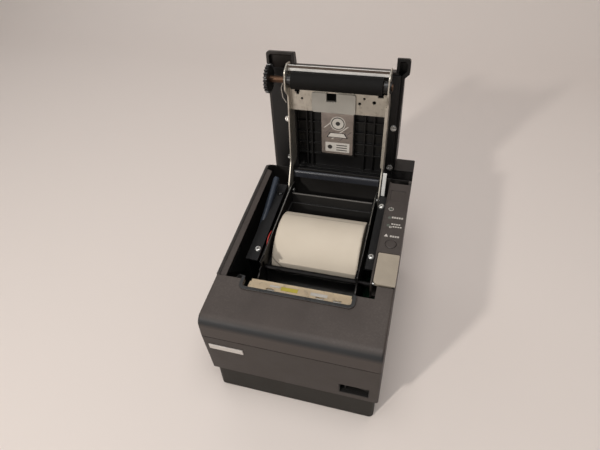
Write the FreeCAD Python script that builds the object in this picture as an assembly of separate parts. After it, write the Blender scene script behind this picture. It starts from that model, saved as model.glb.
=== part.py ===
import FreeCAD, Part

import math
import os

from FreeCAD import Vector

# Receipt printer with its roll cover standing open.
# Millimetres and degrees. X to the right seen from the front, Y to the back, Z up.

# Casing
case_width = 145.0
case_depth = 195.0
case_wall = 2.5
front_top_height = 100.6
top_slope = 7.6
front_lean = 4.0
front_edge_radius = 9.0
seam_height = 80.0
seam_gap = 0.6
rear_wall_drop = 9.15
rear_corner_run = 15.5
rear_corner_radius = 7.0
base_height = 29.5
edge_round = 2.0
base_inset = 3.0
base_front_inset = 5.5
base_corner_radius = 4.0
base_wall = 2.5
base_floor = 2.5
rim_lip_height = 2.0
foot_height = 1.5
foot_radius = 7.0
foot_inset = 14.0

# Front cover and paper slot
front_cover_depth_left = 44.0
front_cover_depth_middle = 46.5
front_cover_depth_right = 58.5
front_cover_step_inset = 13.9
front_cover_wall = 2.4
slot_width = 89.0
slot_front_depth = 36.5
lip_width = 3.0
lip_height = 1.4
lip_corner_radius = 5.0

# Right-hand strip: control panel, feed button and cover-open lever
strip_width = 18.2
strip_wall = 1.5
strip_wall_depth = 22.0
deck_thickness = 1.8
panel_front_y = -5.0
panel_rear_y = 77.9
panel_thickness = 2.2
panel_recess_front_y = 54.5
panel_recess_rear_y = 69.0
panel_recess_depth = 0.7
panel_recess_margin = 3.2
lamp_radius = 1.5
lamp_ys = (44.8, 34.5, 25.5)
lamp_inset = 4.2
button_radius = 4.5
button_gap = 0.35
button_y = 4.8
button_proud = 0.3
button_cap_height = 2.0
button_stem_radius = 2.0
button_travel = 0.8
lever_length = 31.6
lever_gap = 0.6
lever_thickness = 2.4
lever_skirt = 7.0
lever_corner_radius = 4.0
lever_swing = 5.0
lever_pivot_inset = 3.6
lever_pivot_depth = 4.8
lever_pin_radius = 1.25
lever_well_depth = 16.5
lever_post_inset = 3.2

# Mechanism, centred on the paper path
path_centre = -2.5
paper_width = 79.5
roll_radius = 36.0
roll_y = 28.5
roll_z = 66.0
core_radius = 9.0
core_bore = 6.3
tray_width = 82.0
tray_radius = 42.0
tray_wall = 1.2
tray_front_top = 79.0
tray_rear_top = 90.0
tray_seat_gap = 0.3
plate_thickness = 1.2
plate_gap = 0.2
arm_gap = 1.6
inner_panel_gap = 0.8
inner_panel_drop = 17.0
inner_panel_thickness = 2.0
inner_panel_height = 40.0
frame_floor_z = 20.0
frame_front_y = -86.0
frame_foot_y = -68.0
frame_rear_y = 58.0
cutter_drop = 7.6

# Roll cover
cover_swing = 97.6
hinge_y = 83.0
hinge_drop = 28.1
hinge_pin_radius = 2.5
arm_step_reach = 26.2
cover_skin = 2.4
cover_rise = 28.4
cover_front_rise = 6.45
cover_crest_y = 45.0
rim_gap = 0.4
cover_right_inset = 18.5
ear_length = 12.0
ear_left_width = 26.5
ear_right_inner_inset = 26.0
ear_right_outer_inset = 14.5
ear_flare_length = 13.4
cover_wing_y = 59.5
liner_thickness = 1.8
liner_recess = 6.0
label_width = 31.5
label_length = 46.0
label_front_y = 1.0
bracket_width = 40.8
bracket_length = 19.0
bracket_notch = 9.3

# Platen, print head and drive
platen_y = -32.7
platen_drop = 8.9
platen_radius = 7.6
platen_length = 81.4
shaft_radius = 3.0
bush_radius = 5.0
running_fit = 0.05
notch_gap = 0.9
head_gap = 0.5
head_length = 16.0
head_thickness = 6.0
ceramic_thickness = 1.0
gear_module = 1.0
platen_gear_teeth = 24
small_gear_teeth = 12
large_gear_teeth = 26
pinion_teeth = 12
gear_width = 3.0
gear_face_gap = 0.7
drive_gear_x = -66.5
reduction_bearing = 235.0
motor_bearing = 240.0
stud_radius = 2.0
motor_radius = 18.0
motor_length = 19.0
motor_shaft_radius = 1.5

# Cutter
blade_thickness = 1.0
blade_gap = 0.4
blade_travel = 7.5
blade_depth = 17.5
blade_edge_y = -48.5
fixed_blade_edge_y = -45.7
fixed_blade_depth = 5.0
fixed_blade_thickness = 1.2
guide_thickness = 1.2
guide_depth = 20.5
rack_width = 6.0
cutter_gear_teeth = 15
cutter_gear_y = -70.0
cutter_motor_radius = 7.5
cutter_motor_length = 28.0

# Cover lock
lock_y = -17.0
lock_drop = 16.6
lock_radius = 2.5
hook_thickness = 1.0

# Power switch
switch_inset = 20.0
switch_z = 42.5
switch_width = 24.5
switch_height = 14.0
switch_divider = 4.6
rocker_tilt = 6.0

# Boards and sockets
board_thickness = 1.6
board_level = 9.0
interface_level = 36.0
interface_width = 86.0
interface_height = 22.0
interface_centre = -13.0
badge_width = 29.5
badge_height = 6.0
badge_inset = 19.8
badge_z = 67.0
badge_thickness = 0.8
screw_radius = 2.8
screw_height = 1.7

# Places that follow from the sizes above
half_width = case_width / 2
front_y = -case_depth / 2
rear_y = case_depth / 2
inner_half = half_width - case_wall
slope_rise = math.tan(math.radians(top_slope))
slope_cos = math.cos(math.radians(top_slope))
strip_x = half_width - strip_width
rear_wall_top = front_top_height + slope_rise * (case_depth - rear_corner_run) - rear_wall_drop
front_cover_step_x = half_width - front_cover_step_inset
switch_x = half_width - switch_inset
badge_x = -half_width + badge_inset
cover_right_x = half_width - cover_right_inset
ear_right_start = half_width - ear_right_inner_inset
ear_right_end = half_width - ear_right_outer_inset
hinge_z = front_top_height + slope_rise * (hinge_y - front_y) - hinge_drop
cover_height = front_top_height + slope_rise * (cover_crest_y - front_y) + cover_rise
cover_front_height = front_top_height + slope_rise * (front_cover_depth_left + seam_gap) + cover_front_rise
platen_z = front_top_height - platen_drop
cutter_level = front_top_height - cutter_drop
lock_z = front_top_height - lock_drop
front_cover_left_y = front_y + front_cover_depth_left
front_cover_middle_y = front_y + front_cover_depth_middle
front_cover_right_y = front_y + front_cover_depth_right
lever_rear_y = panel_front_y - lever_gap
lever_front_y = lever_rear_y - lever_length
strip_rear_y = rear_y - rear_corner_run - 3
tray_half = tray_width / 2 + tray_wall
plate_inner = tray_half + plate_gap
plate_outer = plate_inner + plate_thickness
arm_inner = plate_outer + arm_gap
arm_outer = arm_inner + plate_thickness
panel_inner = arm_outer + inner_panel_gap
tray_z = roll_z + tray_radius - roll_radius - tray_seat_gap
frame_floor_top = frame_floor_z + plate_thickness
blade_level = cutter_level + plate_thickness + blade_gap
guide_level = blade_level + blade_thickness + 2 * blade_gap
fixed_blade_level = blade_level - blade_gap - fixed_blade_thickness
far = 300.0


def box(x0, x1, y0, y1, z0, z1):
    return Part.makeBox(x1 - x0, y1 - y0, z1 - z0, Vector(x0, y0, z0))


def rod_x(x0, x1, y, z, radius):
    return Part.makeCylinder(radius, x1 - x0, Vector(x0, y, z), Vector(1, 0, 0))


def rod_z(x, y, z0, z1, radius):
    return Part.makeCylinder(radius, z1 - z0, Vector(x, y, z0), Vector(0, 0, 1))


def fused(shapes):
    return shapes[0].multiFuse(shapes[1:]).removeSplitter()


def outline(corners, place):
    """Closed wire through corners (u, v, radius), with an arc of that radius at each corner."""
    count = len(corners)
    bends = []
    for i in range(count):
        here = Vector(corners[i][0], corners[i][1], 0)
        back = Vector(corners[i - 1][0], corners[i - 1][1], 0) - here
        ahead = Vector(corners[(i + 1) % count][0], corners[(i + 1) % count][1], 0) - here
        back.normalize()
        ahead.normalize()
        radius = corners[i][2]
        half = back.getAngle(ahead) / 2
        middle = back + ahead
        if radius > 0:
            middle.normalize()
        run = radius / math.tan(half)
        reach = radius / math.sin(half) - radius
        bends.append((here + back * run, here + middle * reach, here + ahead * run))
    edges = []
    for i in range(count):
        start, middle, end = bends[i]
        if corners[i][2] > 0:
            edges.append(Part.Arc(place(start), place(middle), place(end)).toShape())
        following = bends[(i + 1) % count][0]
        edges.append(Part.LineSegment(place(end), place(following)).toShape())
    return Part.Wire(edges)


def side_prism(corners, x0, x1):
    """Solid between x0 and x1 with an outline of (y, z, radius) corners."""
    wire = outline(corners, lambda p: Vector(x0, p.x, p.y))
    return Part.Face(wire).extrude(Vector(x1 - x0, 0, 0))


def plan_prism(corners, z0, z1):
    """Solid between z0 and z1 with an outline of (x, y, radius) corners."""
    wire = outline(corners, lambda p: Vector(p.x, p.y, z0))
    return Part.Face(wire).extrude(Vector(0, 0, z1 - z0))


def plan_box(x0, x1, y0, y1, z0, z1, radius):
    corners = [(x0, y0, radius), (x1, y0, radius), (x1, y1, radius), (x0, y1, radius)]
    return plan_prism(corners, z0, z1)


def top_z(y):
    """Height of the sloping top plane."""
    return front_top_height + slope_rise * (y - front_y)


def along(y):
    """Distance up the slope from the front face."""
    return (y - front_y) / slope_cos


def on_top(shape):
    """Lay a shape built on the flat, with its Y up the slope, onto the top plane."""
    shape.rotate(Vector(0, 0, 0), Vector(1, 0, 0), top_slope)
    shape.translate(Vector(0, front_y, front_top_height))
    return shape


def top_box(x0, x1, y0, y1, n0, n1, radius=0.0):
    return on_top(plan_box(x0, x1, along(y0), along(y1), n0, n1, radius))


def top_rod(x, y, n0, n1, radius):
    return on_top(rod_z(x, along(y), n0, n1, radius))


def top_dome(x, y, n, radius, height):
    """Low domed screw head standing on the level n of the slope."""
    head = rod_z(x, along(y), n, n + height, radius)
    rims = [e for e in head.Edges if e.BoundBox.ZMin > n + height - 0.01]
    return on_top(head.makeFillet(0.7 * height, rims))


def opened(shape):
    """Swing a piece of the roll cover from its closed place to the open rest pose."""
    shape.rotate(Vector(0, hinge_y, hinge_z), Vector(1, 0, 0), -cover_swing)
    return shape


def both_sides(inner, outer):
    """X ranges on the left and right of the paper path."""
    return ((path_centre - outer, path_centre - inner), (path_centre + inner, path_centre + outer))


def gear(x0, x1, y, z, teeth, bore, phase):
    """Spur gear about an axis along X, with one tooth at the angle phase from +Y towards +Z."""
    pitch_radius = gear_module * teeth / 2
    root = pitch_radius - 1.2 * gear_module
    tip = pitch_radius + 0.85 * gear_module
    step = 2 * math.pi / teeth
    points = []
    for i in range(teeth):
        middle = math.radians(phase) + i * step
        for radius, share in ((root, -0.30), (tip, -0.12), (tip, 0.12), (root, 0.30)):
            angle = middle + share * step
            points.append(Vector(x0, y + radius * math.cos(angle), z + radius * math.sin(angle)))
    points.append(points[0])
    disc = Part.Face(Part.makePolygon(points)).extrude(Vector(x1 - x0, 0, 0))
    return disc.cut(rod_x(x0, x1, y, z, bore))


def bent_wire(runs, radius):
    """Round wire through points (point, bend radius), with an arc at each bend."""
    edges = []
    start = runs[0][0]
    for i in range(1, len(runs) - 1):
        here, bend = runs[i]
        back = (runs[i - 1][0] - here).normalize()
        ahead = (runs[i + 1][0] - here).normalize()
        half = back.getAngle(ahead) / 2
        run = bend / math.tan(half)
        middle = (back + ahead).normalize() * (bend / math.sin(half) - bend)
        enter = here + back * run
        leave = here + ahead * run
        edges.append(Part.LineSegment(start, enter).toShape())
        edges.append(Part.Arc(enter, here + middle, leave).toShape())
        start = leave
    edges.append(Part.LineSegment(start, runs[-1][0]).toShape())
    ring = Part.Wire(Part.makeCircle(radius, runs[0][0], runs[1][0] - runs[0][0]))
    return Part.Wire(edges).makePipeShell([ring], True, False)


def polar(y, z, radius, angle):
    return y + radius * math.cos(math.radians(angle)), z + radius * math.sin(math.radians(angle))


# Gear axes, worked out with the cover closed
platen_pitch = gear_module * platen_gear_teeth / 2
small_pitch = gear_module * small_gear_teeth / 2
large_pitch = gear_module * large_gear_teeth / 2
pinion_pitch = gear_module * pinion_teeth / 2
reduction_y, reduction_z = polar(platen_y, platen_z, platen_pitch + small_pitch, reduction_bearing)
motor_y, motor_z = polar(reduction_y, reduction_z, large_pitch + pinion_pitch, motor_bearing)
large_gear_x = drive_gear_x + gear_width + gear_face_gap
stud_end_x = drive_gear_x - 0.6
cutter_pitch = gear_module * cutter_gear_teeth / 2
rack_pitch_z = cutter_level - 0.5
cutter_gear_z = rack_pitch_z - cutter_pitch


# Casing

def lower_outline(inset):
    """Plan corners of the lower case, moved in by inset."""
    side = half_width - base_inset - inset
    front = front_y + base_front_inset + inset
    rear = rear_y - case_wall - inset
    radius = max(base_corner_radius - inset, 0.8)
    return [(-side, front, radius), (side, front, radius), (side, rear, radius), (-side, rear, radius)]


def base_posts():
    """Places of the screwed posts that carry the steel frame."""
    xs = (path_centre - 30, path_centre + 30)
    return [(x, y) for x in xs for y in (frame_foot_y + 12, frame_rear_y - 14)]


def bottom_case():
    floor_top = foot_height + base_floor
    shell = plan_prism(lower_outline(0), foot_height, base_height)
    shell = shell.cut(plan_prism(lower_outline(base_wall), floor_top, base_height))
    posts = [rod_z(x, y, foot_height + 0.5, frame_floor_z, 5) for x, y in base_posts()]
    shell = fused([shell] + posts)
    for x, y in base_posts():
        shell = shell.cut(rod_z(x, y, foot_height, foot_height + 1.6, 3.4))
        shell = shell.cut(rod_z(x, y, foot_height, 14, 1.6))
    return shell


def case_screws():
    screws = []
    for x, y in base_posts():
        head = rod_z(x, y, foot_height + 0.2, foot_height + 1.6, 3.1)
        socket = rod_z(x, y, foot_height + 0.2, foot_height + 0.9, 1.5)
        screws.append(head.fuse(rod_z(x, y, foot_height + 1.6, 13.5, 1.5)).removeSplitter().cut(socket))
    return Part.makeCompound(screws)


def rubber_feet():
    side = half_width - base_inset - foot_inset
    feet = []
    for x in (-side, side):
        for y in (front_y + base_front_inset + foot_inset, rear_y - case_wall - foot_inset):
            feet.append(rod_z(x, y, 0, foot_height, foot_radius))
    return Part.makeCompound(feet)


def case_side_corners():
    return [
        (front_y + front_lean, base_height, 0),
        (front_y, seam_height, 0),
        (front_cover_left_y, seam_height, 0),
        (front_cover_left_y, top_z(front_cover_left_y), 0),
        (rear_y - rear_corner_run, top_z(rear_y - rear_corner_run), rear_corner_radius),
        (rear_y, rear_wall_top, rear_corner_radius),
        (rear_y, base_height, 0),
    ]


def side_edges(shape, rear_limit):
    """Edges where the side faces meet the front and the top, ahead of rear_limit or lying along the top."""
    edges = []
    for edge in shape.Edges:
        bounds = edge.BoundBox
        on_side = bounds.XMax - bounds.XMin < 0.01 and abs(abs(bounds.XMax) - half_width) < 0.01
        tall = bounds.ZMax - bounds.ZMin > 1
        if on_side and tall and bounds.YMin < rear_limit and bounds.YMin < front_y + 10:
            edges.append(edge)
    return edges


def switch_window(gap):
    half_x = switch_width / 2 + gap
    half_z = switch_height / 2 + gap
    return (switch_x - half_x, switch_x + half_x, switch_z - half_z, switch_z + half_z)


def interface_window(gap):
    half_x = interface_width / 2 + gap
    low = interface_level - 2 - gap
    return (interface_centre - half_x, interface_centre + half_x, low, low + interface_height + 2 * gap)


def lever_pivot():
    """Y and Z of the pin that the cover-open lever turns on."""
    y = lever_front_y + lever_pivot_inset
    return y, top_z(y) - lever_pivot_depth


def main_case():
    shell = side_prism(case_side_corners(), -half_width, half_width)
    corner_radius = rear_corner_radius - 1
    shell = shell.common(plan_prism([
        (-half_width, front_y - 1, 0),
        (half_width, front_y - 1, 0),
        (half_width, rear_y, corner_radius),
        (-half_width, rear_y, corner_radius),
    ], 0, far))
    shell = shell.makeFillet(edge_round, side_edges(shell, front_y + front_lean + 0.1))
    lip_top = base_height + rim_lip_height
    hollow = [
        (front_y + front_lean + case_wall, lip_top, 0),
        (front_y + case_wall, seam_height, 0),
        (front_y + case_wall, far, 0),
        (rear_y - case_wall, far, 0),
        (rear_y - case_wall, lip_top, 0),
    ]
    shell = shell.cut(side_prism(hollow, -inner_half, inner_half))
    shell = shell.cut(plan_prism(lower_outline(base_wall), base_height - 1, lip_top + 1))

    # The right wall is cut down for the front cover, the lever and the control panel
    right = (half_width - case_wall - 0.01, half_width + 1)
    lever_start = lever_front_y - lever_gap
    shell = shell.cut(box(right[0], right[1], front_cover_left_y - 1, lever_start, seam_height, far))
    lever_floor = -lever_well_depth + 4
    shell = shell.cut(top_box(right[0], right[1], lever_front_y - lever_gap, panel_front_y, lever_floor, 60))
    shell = shell.cut(top_box(right[0], right[1], panel_front_y, panel_rear_y, -panel_thickness, 60))

    # Inner wall of the strip, the deck under the panel and the well under the lever
    wall = top_box(strip_x - strip_wall, strip_x, lever_front_y - lever_gap, strip_rear_y,
                   -strip_wall_depth, 0)
    deck_bottom = -panel_thickness - deck_thickness
    deck = top_box(strip_x - 0.5, inner_half + 0.5, panel_front_y, strip_rear_y,
                   deck_bottom, -panel_thickness)
    well_bottom = -lever_well_depth - deck_thickness
    well = top_box(strip_x - 0.5, inner_half + 0.5, lever_front_y - lever_gap, panel_front_y,
                   well_bottom, -lever_well_depth)
    back = top_box(strip_x - 0.5, inner_half + 0.5, panel_front_y, panel_front_y + deck_thickness,
                   well_bottom, -panel_thickness)
    pivot_y, pivot_z = lever_pivot()
    ribs = []
    for x in lever_rib_places():
        ribs.append(top_box(x, x + 1.6, pivot_y - 3, pivot_y + 3, -lever_well_depth, -lever_thickness - 0.6))
    board_posts = [top_rod(x, y, -board_depth(), deck_bottom, 1.8) for x, y in panel_board_posts()]
    shell = fused([shell, wall, deck, well, back] + ribs + board_posts)

    shell = shell.cut(rod_x(strip_x - strip_wall, half_width, pivot_y, pivot_z, lever_pin_radius))
    post_x0, post_x1, post_y0, post_y1 = lever_post_place()
    shell = shell.cut(top_box(post_x0 - 1.2, post_x1 + 1.2, post_y0 - 1.2, post_y1 + 1.2,
                              well_bottom - 1, -lever_well_depth + 1))
    shell = shell.cut(top_rod(button_x(), button_y, deck_bottom - 1, 1, button_radius + button_gap))
    for y in lamp_ys:
        shell = shell.cut(top_rod(lamp_x(), y, deck_bottom - 1, 1, lamp_radius + 0.1))

    x0, x1, z0, z1 = switch_window(0)
    shell = shell.cut(box(x0, x1, front_y - 1, front_y + 12, z0, z1))
    x0, x1, z0, z1 = interface_window(0)
    shell = shell.cut(box(x0, x1, rear_y - 6, rear_y + 1, z0, z1))
    return shell


def badge_plate():
    """Blank badge, standing on the leaning front wall of the main case."""
    lean = math.degrees(math.atan(front_lean / (seam_height - base_height)))
    plate = box(-badge_width / 2, badge_width / 2, -badge_thickness, 0, -badge_height / 2, badge_height / 2)
    plate = plate.makeFillet(0.3, [e for e in plate.Edges if e.BoundBox.YMax < -badge_thickness + 0.01])
    plate.rotate(Vector(0, 0, 0), Vector(1, 0, 0), lean)
    wall_y = front_y + front_lean * (seam_height - badge_z) / (seam_height - base_height)
    plate.translate(Vector(badge_x, wall_y, badge_z))
    return plate


def front_cover():
    lower = seam_height + seam_gap
    rear = front_cover_right_y
    outer = [
        (front_y, lower, 0),
        (front_y, front_top_height, front_edge_radius),
        (rear, top_z(rear), 0),
        (rear, lower, 0),
    ]
    wall = front_cover_wall
    inner = [
        (front_y + wall, lower - 1, 0),
        (front_y + wall, front_top_height - wall, front_edge_radius - wall),
        (rear + 1, top_z(rear + 1) - wall, 0),
        (rear + 1, lower - 1, 0),
    ]
    cover = side_prism(outer, -half_width, half_width)
    cover = cover.makeFillet(edge_round, side_edges(cover, front_cover_right_y - 0.1))
    cover = cover.cut(side_prism(inner, -half_width + wall, half_width - wall))
    cover = cover.cut(box(-far, path_centre, front_cover_left_y - seam_gap / 2, far, 0, far))
    cover = cover.cut(box(path_centre, front_cover_step_x, front_cover_middle_y, far, 0, far))

    half_slot = slot_width / 2
    slot_y = front_y + slot_front_depth
    lip_outer = top_box(path_centre - half_slot - lip_width, path_centre + half_slot + lip_width,
                        slot_y - lip_width, front_cover_middle_y + 20, -wall, lip_height, lip_corner_radius)
    lip_outer = lip_outer.common(box(-far, far, -far, front_cover_left_y - seam_gap / 2, 0, far))
    slot = top_box(path_centre - half_slot, path_centre + half_slot,
                   slot_y, front_cover_middle_y + 20, -30, 30, lip_corner_radius - lip_width)
    return fused([cover, lip_outer]).cut(slot)


# Control panel, feed button and lever

def button_x():
    return strip_x + strip_width / 2


def lamp_x():
    return strip_x + lamp_inset


def board_depth():
    """Depth of the panel board's upper face below the top plane."""
    return panel_thickness + deck_thickness + 1.6


def panel_board_posts():
    return [(strip_x + 4, 14.0), (strip_x + strip_width - 6, 50.0)]


def control_panel():
    panel = top_box(strip_x, half_width, panel_front_y, panel_rear_y, -panel_thickness, 0)
    panel = panel.cut(top_rod(button_x(), button_y, -5, 5, button_radius + button_gap))
    for y in lamp_ys:
        panel = panel.cut(top_rod(lamp_x(), y, -5, 5, lamp_radius + 0.1))
    recess = top_box(strip_x + panel_recess_margin - 2, half_width - panel_recess_margin,
                     panel_recess_front_y, panel_recess_rear_y, -panel_recess_depth, 1, 0.8)
    return panel.cut(recess)


def panel_board():
    depth = board_depth()
    board = top_box(strip_x + 1.5, inner_half - 1.5, panel_front_y + 3.5, 54, -depth - board_thickness, -depth)
    switch = top_rod(button_x(), button_y, -depth, -depth + 0.4, 3)
    return board.fuse(switch).removeSplitter()


def status_lamps():
    return Part.makeCompound([top_rod(lamp_x(), y, -board_depth(), -0.1, lamp_radius) for y in lamp_ys])


def feed_button():
    cap = rod_z(button_x(), along(button_y), button_proud - button_cap_height, button_proud, button_radius)
    cap = cap.makeFillet(0.4, [e for e in cap.Edges if e.BoundBox.ZMin > button_proud - 0.01])
    stem_end = -board_depth() + 0.4 + button_travel + 0.1
    stem = rod_z(button_x(), along(button_y), stem_end, button_proud - button_cap_height, button_stem_radius)
    return on_top(cap.fuse(stem).removeSplitter())


def lever_rib_places():
    return (strip_x + 4.2, strip_x + 11.2)


def lever_post_place():
    x = strip_x + 6.6
    return x, x + 3.0, lever_rear_y - lever_post_inset - 1.5, lever_rear_y - lever_post_inset + 1.5


def cover_open_lever():
    left = strip_x + lever_gap
    corners = [
        (left, along(lever_front_y), lever_corner_radius),
        (half_width, along(lever_front_y), 1.0),
        (half_width, along(lever_rear_y), 1.0),
        (left, along(lever_rear_y), 1.0),
    ]
    plate = on_top(plan_prism(corners, -lever_thickness, 0))
    skirt = top_box(half_width - 2.2, half_width, lever_front_y + 1, lever_rear_y - 1, -lever_skirt, -1)
    pivot_y, pivot_z = lever_pivot()
    ears = []
    for x in lever_rib_places():
        ears.append(top_box(x + 2.0, x + 4.0, pivot_y - 2.6, pivot_y + 2.6,
                            -lever_pivot_depth - 2.4, -lever_thickness + 0.5))
    post_x0, post_x1, post_y0, post_y1 = lever_post_place()
    post = top_box(post_x0, post_x1, post_y0, post_y1, -lever_post_depth(), -lever_thickness + 0.5)
    lever = fused([plate, skirt, post] + ears)
    return lever.cut(rod_x(0, far, pivot_y, pivot_z, lever_pin_radius + running_fit))


def lever_post_depth():
    """Depth of the lever post's foot below the top plane, just above the pad of the lock shaft."""
    y = lever_rear_y - lever_post_inset
    return top_z(y) - lock_pad_top() - 0.5


def lever_pin():
    pivot_y, pivot_z = lever_pivot()
    return rod_x(strip_x - strip_wall, lever_rib_places()[1] + 4.6, pivot_y, pivot_z, lever_pin_radius)


# Steel frame and roll bay

def frame_corners():
    rear_top = hinge_y - 8
    return [
        (frame_foot_y, frame_floor_top, 0),
        (frame_foot_y, 56, 6),
        (frame_front_y, 73, 6),
        (frame_front_y, cutter_level, 0),
        (blade_edge_y + 1, cutter_level, 0),
        (blade_edge_y + 1, fixed_blade_level - 3, 0),
        (platen_y + 9, fixed_blade_level - 3, 0),
        (platen_y + 9, top_z(platen_y + 9) - inner_panel_drop + 3, 1.5),
        (rear_top, top_z(rear_top) - inner_panel_drop, 4),
        (hinge_y + 8, hinge_z + 7, 6),
        (hinge_y + 8, hinge_z - 8, 6),
        (frame_rear_y, 62, 6),
        (frame_rear_y, frame_floor_top, 0),
    ]


def frame_plate(x0, x1):
    plate = side_prism(frame_corners(), x0, x1)
    notch = bush_radius + notch_gap
    plate = plate.cut(rod_x(x0, x1, platen_y, platen_z, notch))
    plate = plate.cut(box(x0, x1, platen_y - notch, platen_y + notch, platen_z, far))
    plate = plate.cut(rod_x(x0, x1, hinge_y, hinge_z, hinge_pin_radius))
    plate = plate.cut(rod_x(x0, x1, lock_y, lock_z, lock_radius + running_fit))
    return plate


def frame_left_plate():
    x0, x1 = both_sides(plate_inner, plate_outer)[0]
    plate = frame_plate(x0, x1).cut(rod_x(x0, x1, motor_y, motor_z, 7))
    return fused([plate, rod_x(stud_end_x, x1, reduction_y, reduction_z, stud_radius)])


def frame_right_plate():
    x0, x1 = both_sides(plate_inner, plate_outer)[1]
    return frame_plate(x0, x1)


def frame_base_plate():
    return box(path_centre - plate_outer, path_centre + plate_outer, frame_foot_y, frame_rear_y,
               frame_floor_z, frame_floor_top)


def hinge_pins():
    pins = []
    for x0, x1 in both_sides(plate_inner - 0.4, arm_outer + 0.8):
        pins.append(rod_x(x0, x1, hinge_y, hinge_z, hinge_pin_radius))
    return Part.makeCompound(pins)


def roll_tray():
    x0 = path_centre - tray_half
    x1 = path_centre + tray_half
    outer_radius = tray_radius + tray_wall
    body = rod_x(x0, x1, roll_y, tray_z, outer_radius)
    front = box(x0, x1, roll_y - outer_radius, roll_y, tray_z, top_z(0) - inner_panel_drop)
    rear = box(x0, x1, roll_y, roll_y + outer_radius, tray_z, tray_rear_top)
    body = fused([body, front, rear])
    hollow = rod_x(x0 + tray_wall, x1 - tray_wall, roll_y, tray_z, tray_radius)
    hollow_top = box(x0 + tray_wall, x1 - tray_wall, roll_y - tray_radius, roll_y + tray_radius, tray_z, far)
    body = body.cut(hollow).cut(hollow_top)
    body = body.cut(box(x0 - 1, x1 + 1, -far, roll_y, tray_front_top, far))
    return body.cut(box(x0 - 1, x1 + 1, -far, far, tray_rear_top, far))


def inner_panel(side):
    """Black side panel between the steel frame and the case, with its flange beside the cover's arm."""
    if side < 0:
        inner = path_centre - panel_inner
        outer = inner - 11.3
        reach = path_centre - plate_outer
    else:
        inner = path_centre + panel_inner
        outer = strip_x - strip_wall - 0.4
        reach = path_centre + plate_outer
    front = lock_y + 5 * side
    rear = hinge_y - 8
    low, high = sorted((inner, outer))
    flange = top_box(low, high, front, rear, -inner_panel_drop - inner_panel_thickness, -inner_panel_drop)
    web_low, web_high = sorted((outer, outer - side * inner_panel_thickness))
    web = top_box(web_low, web_high, front, rear, -inner_panel_drop - inner_panel_height,
                  -inner_panel_drop - 0.5)
    tab_low, tab_high = sorted((outer - side, reach))
    tab = box(tab_low, tab_high, 10, 30, 66, 72)
    return fused([flange, web, tab])


def bay_rear_panel():
    """Black panel that closes the gap between the roll tray and the rear wall, above the sockets."""
    half = plate_inner - 0.8
    y0 = roll_y + tray_radius + tray_wall + 0.2
    y1 = rear_y - case_wall - 0.2
    z1 = hinge_z - 12.5
    return box(path_centre - half, path_centre + half, y0, y1, z1 - inner_panel_thickness, z1)


def frame_screws():
    """Dome-headed screws on the side panels' flanges."""
    left = path_centre - panel_inner
    right = path_centre + panel_inner
    places = [(left - 3.4, -10.0), (left - 3.4, 62.0), (right + 3.4, 1.0), (right + 3.4, 62.0)]
    heads = [top_dome(x, y, -inner_panel_drop, screw_radius, screw_height) for x, y in places]
    return Part.makeCompound(heads)


def near_end_sensor():
    x0 = path_centre + plate_outer
    housing = box(x0, x0 + 7, 36, 50, 44, 58)
    knob = rod_x(x0 + 7, x0 + 9, 43, 51, 4)
    return housing.fuse(knob).removeSplitter()


def red_lead():
    """Thin red lead that runs up over the edge of the left frame plate and down again."""
    radius = 0.55
    x = path_centre - plate_outer - radius - 0.05
    crest = top_z(10) - inner_panel_drop + 3.5
    places = [(-12, 60, 0), (-9, 88, 8), (4, crest, 8), (15, crest - 2, 8), (26, 82, 8), (28, 74, 0)]
    return bent_wire([(Vector(x, y, z), bend) for y, z, bend in places], radius)


def paper_roll():
    x0 = path_centre - paper_width / 2
    roll = rod_x(x0, x0 + paper_width, roll_y, roll_z, roll_radius)
    return roll.cut(rod_x(x0, x0 + paper_width, roll_y, roll_z, core_radius))


def roll_core():
    x0 = path_centre - paper_width / 2
    core = rod_x(x0, x0 + paper_width, roll_y, roll_z, core_radius)
    return core.cut(rod_x(x0, x0 + paper_width, roll_y, roll_z, core_bore))


# Print head

def on_head(shape):
    """Turn a piece built flat at the origin, facing +Z, onto the line where the head meets the platen."""
    reach = (platen_radius + head_gap) * math.sqrt(0.5)
    shape.rotate(Vector(0, 0, 0), Vector(1, 0, 0), -45)
    shape.translate(Vector(path_centre, platen_y - reach, platen_z - reach))
    return shape


def print_head_sink():
    sink = box(-plate_inner, plate_inner, -head_length / 2 + 1, head_length / 2 + 1,
               -ceramic_thickness - head_thickness, -ceramic_thickness)
    for i in range(5):
        y = -head_length / 2 + 3 + 3 * i
        sink = sink.cut(box(-plate_inner + 4, plate_inner - 4, y, y + 1.2, -ceramic_thickness - head_thickness,
                            -ceramic_thickness - head_thickness + 3))
    return on_head(sink)


def print_head_ceramic():
    return on_head(box(-plate_inner + 2, plate_inner - 2, -head_length / 2 + 3, head_length / 2 - 2,
                       -ceramic_thickness, 0))


def head_spring():
    """Leaf spring that presses the print head towards the platen."""
    low = -ceramic_thickness - head_thickness
    return on_head(box(-14, 14, head_length / 2 - 3, head_length / 2 + 1, low - 0.8, low))


# Paper feed drive

def feed_motor():
    x0 = path_centre - plate_inner
    can = rod_x(x0, x0 + motor_length, motor_y, motor_z, motor_radius)
    flange = box(x0, x0 + 1.2, motor_y - motor_radius - 5, motor_y + motor_radius + 5, motor_z - 6, motor_z + 6)
    motor = fused([can, flange])
    return motor.cut(rod_x(x0, x0 + motor_length, motor_y, motor_z, motor_shaft_radius + running_fit))


def feed_pinion():
    toward = motor_bearing
    x0 = large_gear_x
    wheel = gear(x0, x0 + gear_width, motor_y, motor_z, pinion_teeth, 0.6,
                 toward - 180 + 180 / pinion_teeth)
    shaft = rod_x(x0, path_centre - plate_inner + motor_length - 2, motor_y, motor_z, motor_shaft_radius)
    return fused([wheel, shaft])


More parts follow.
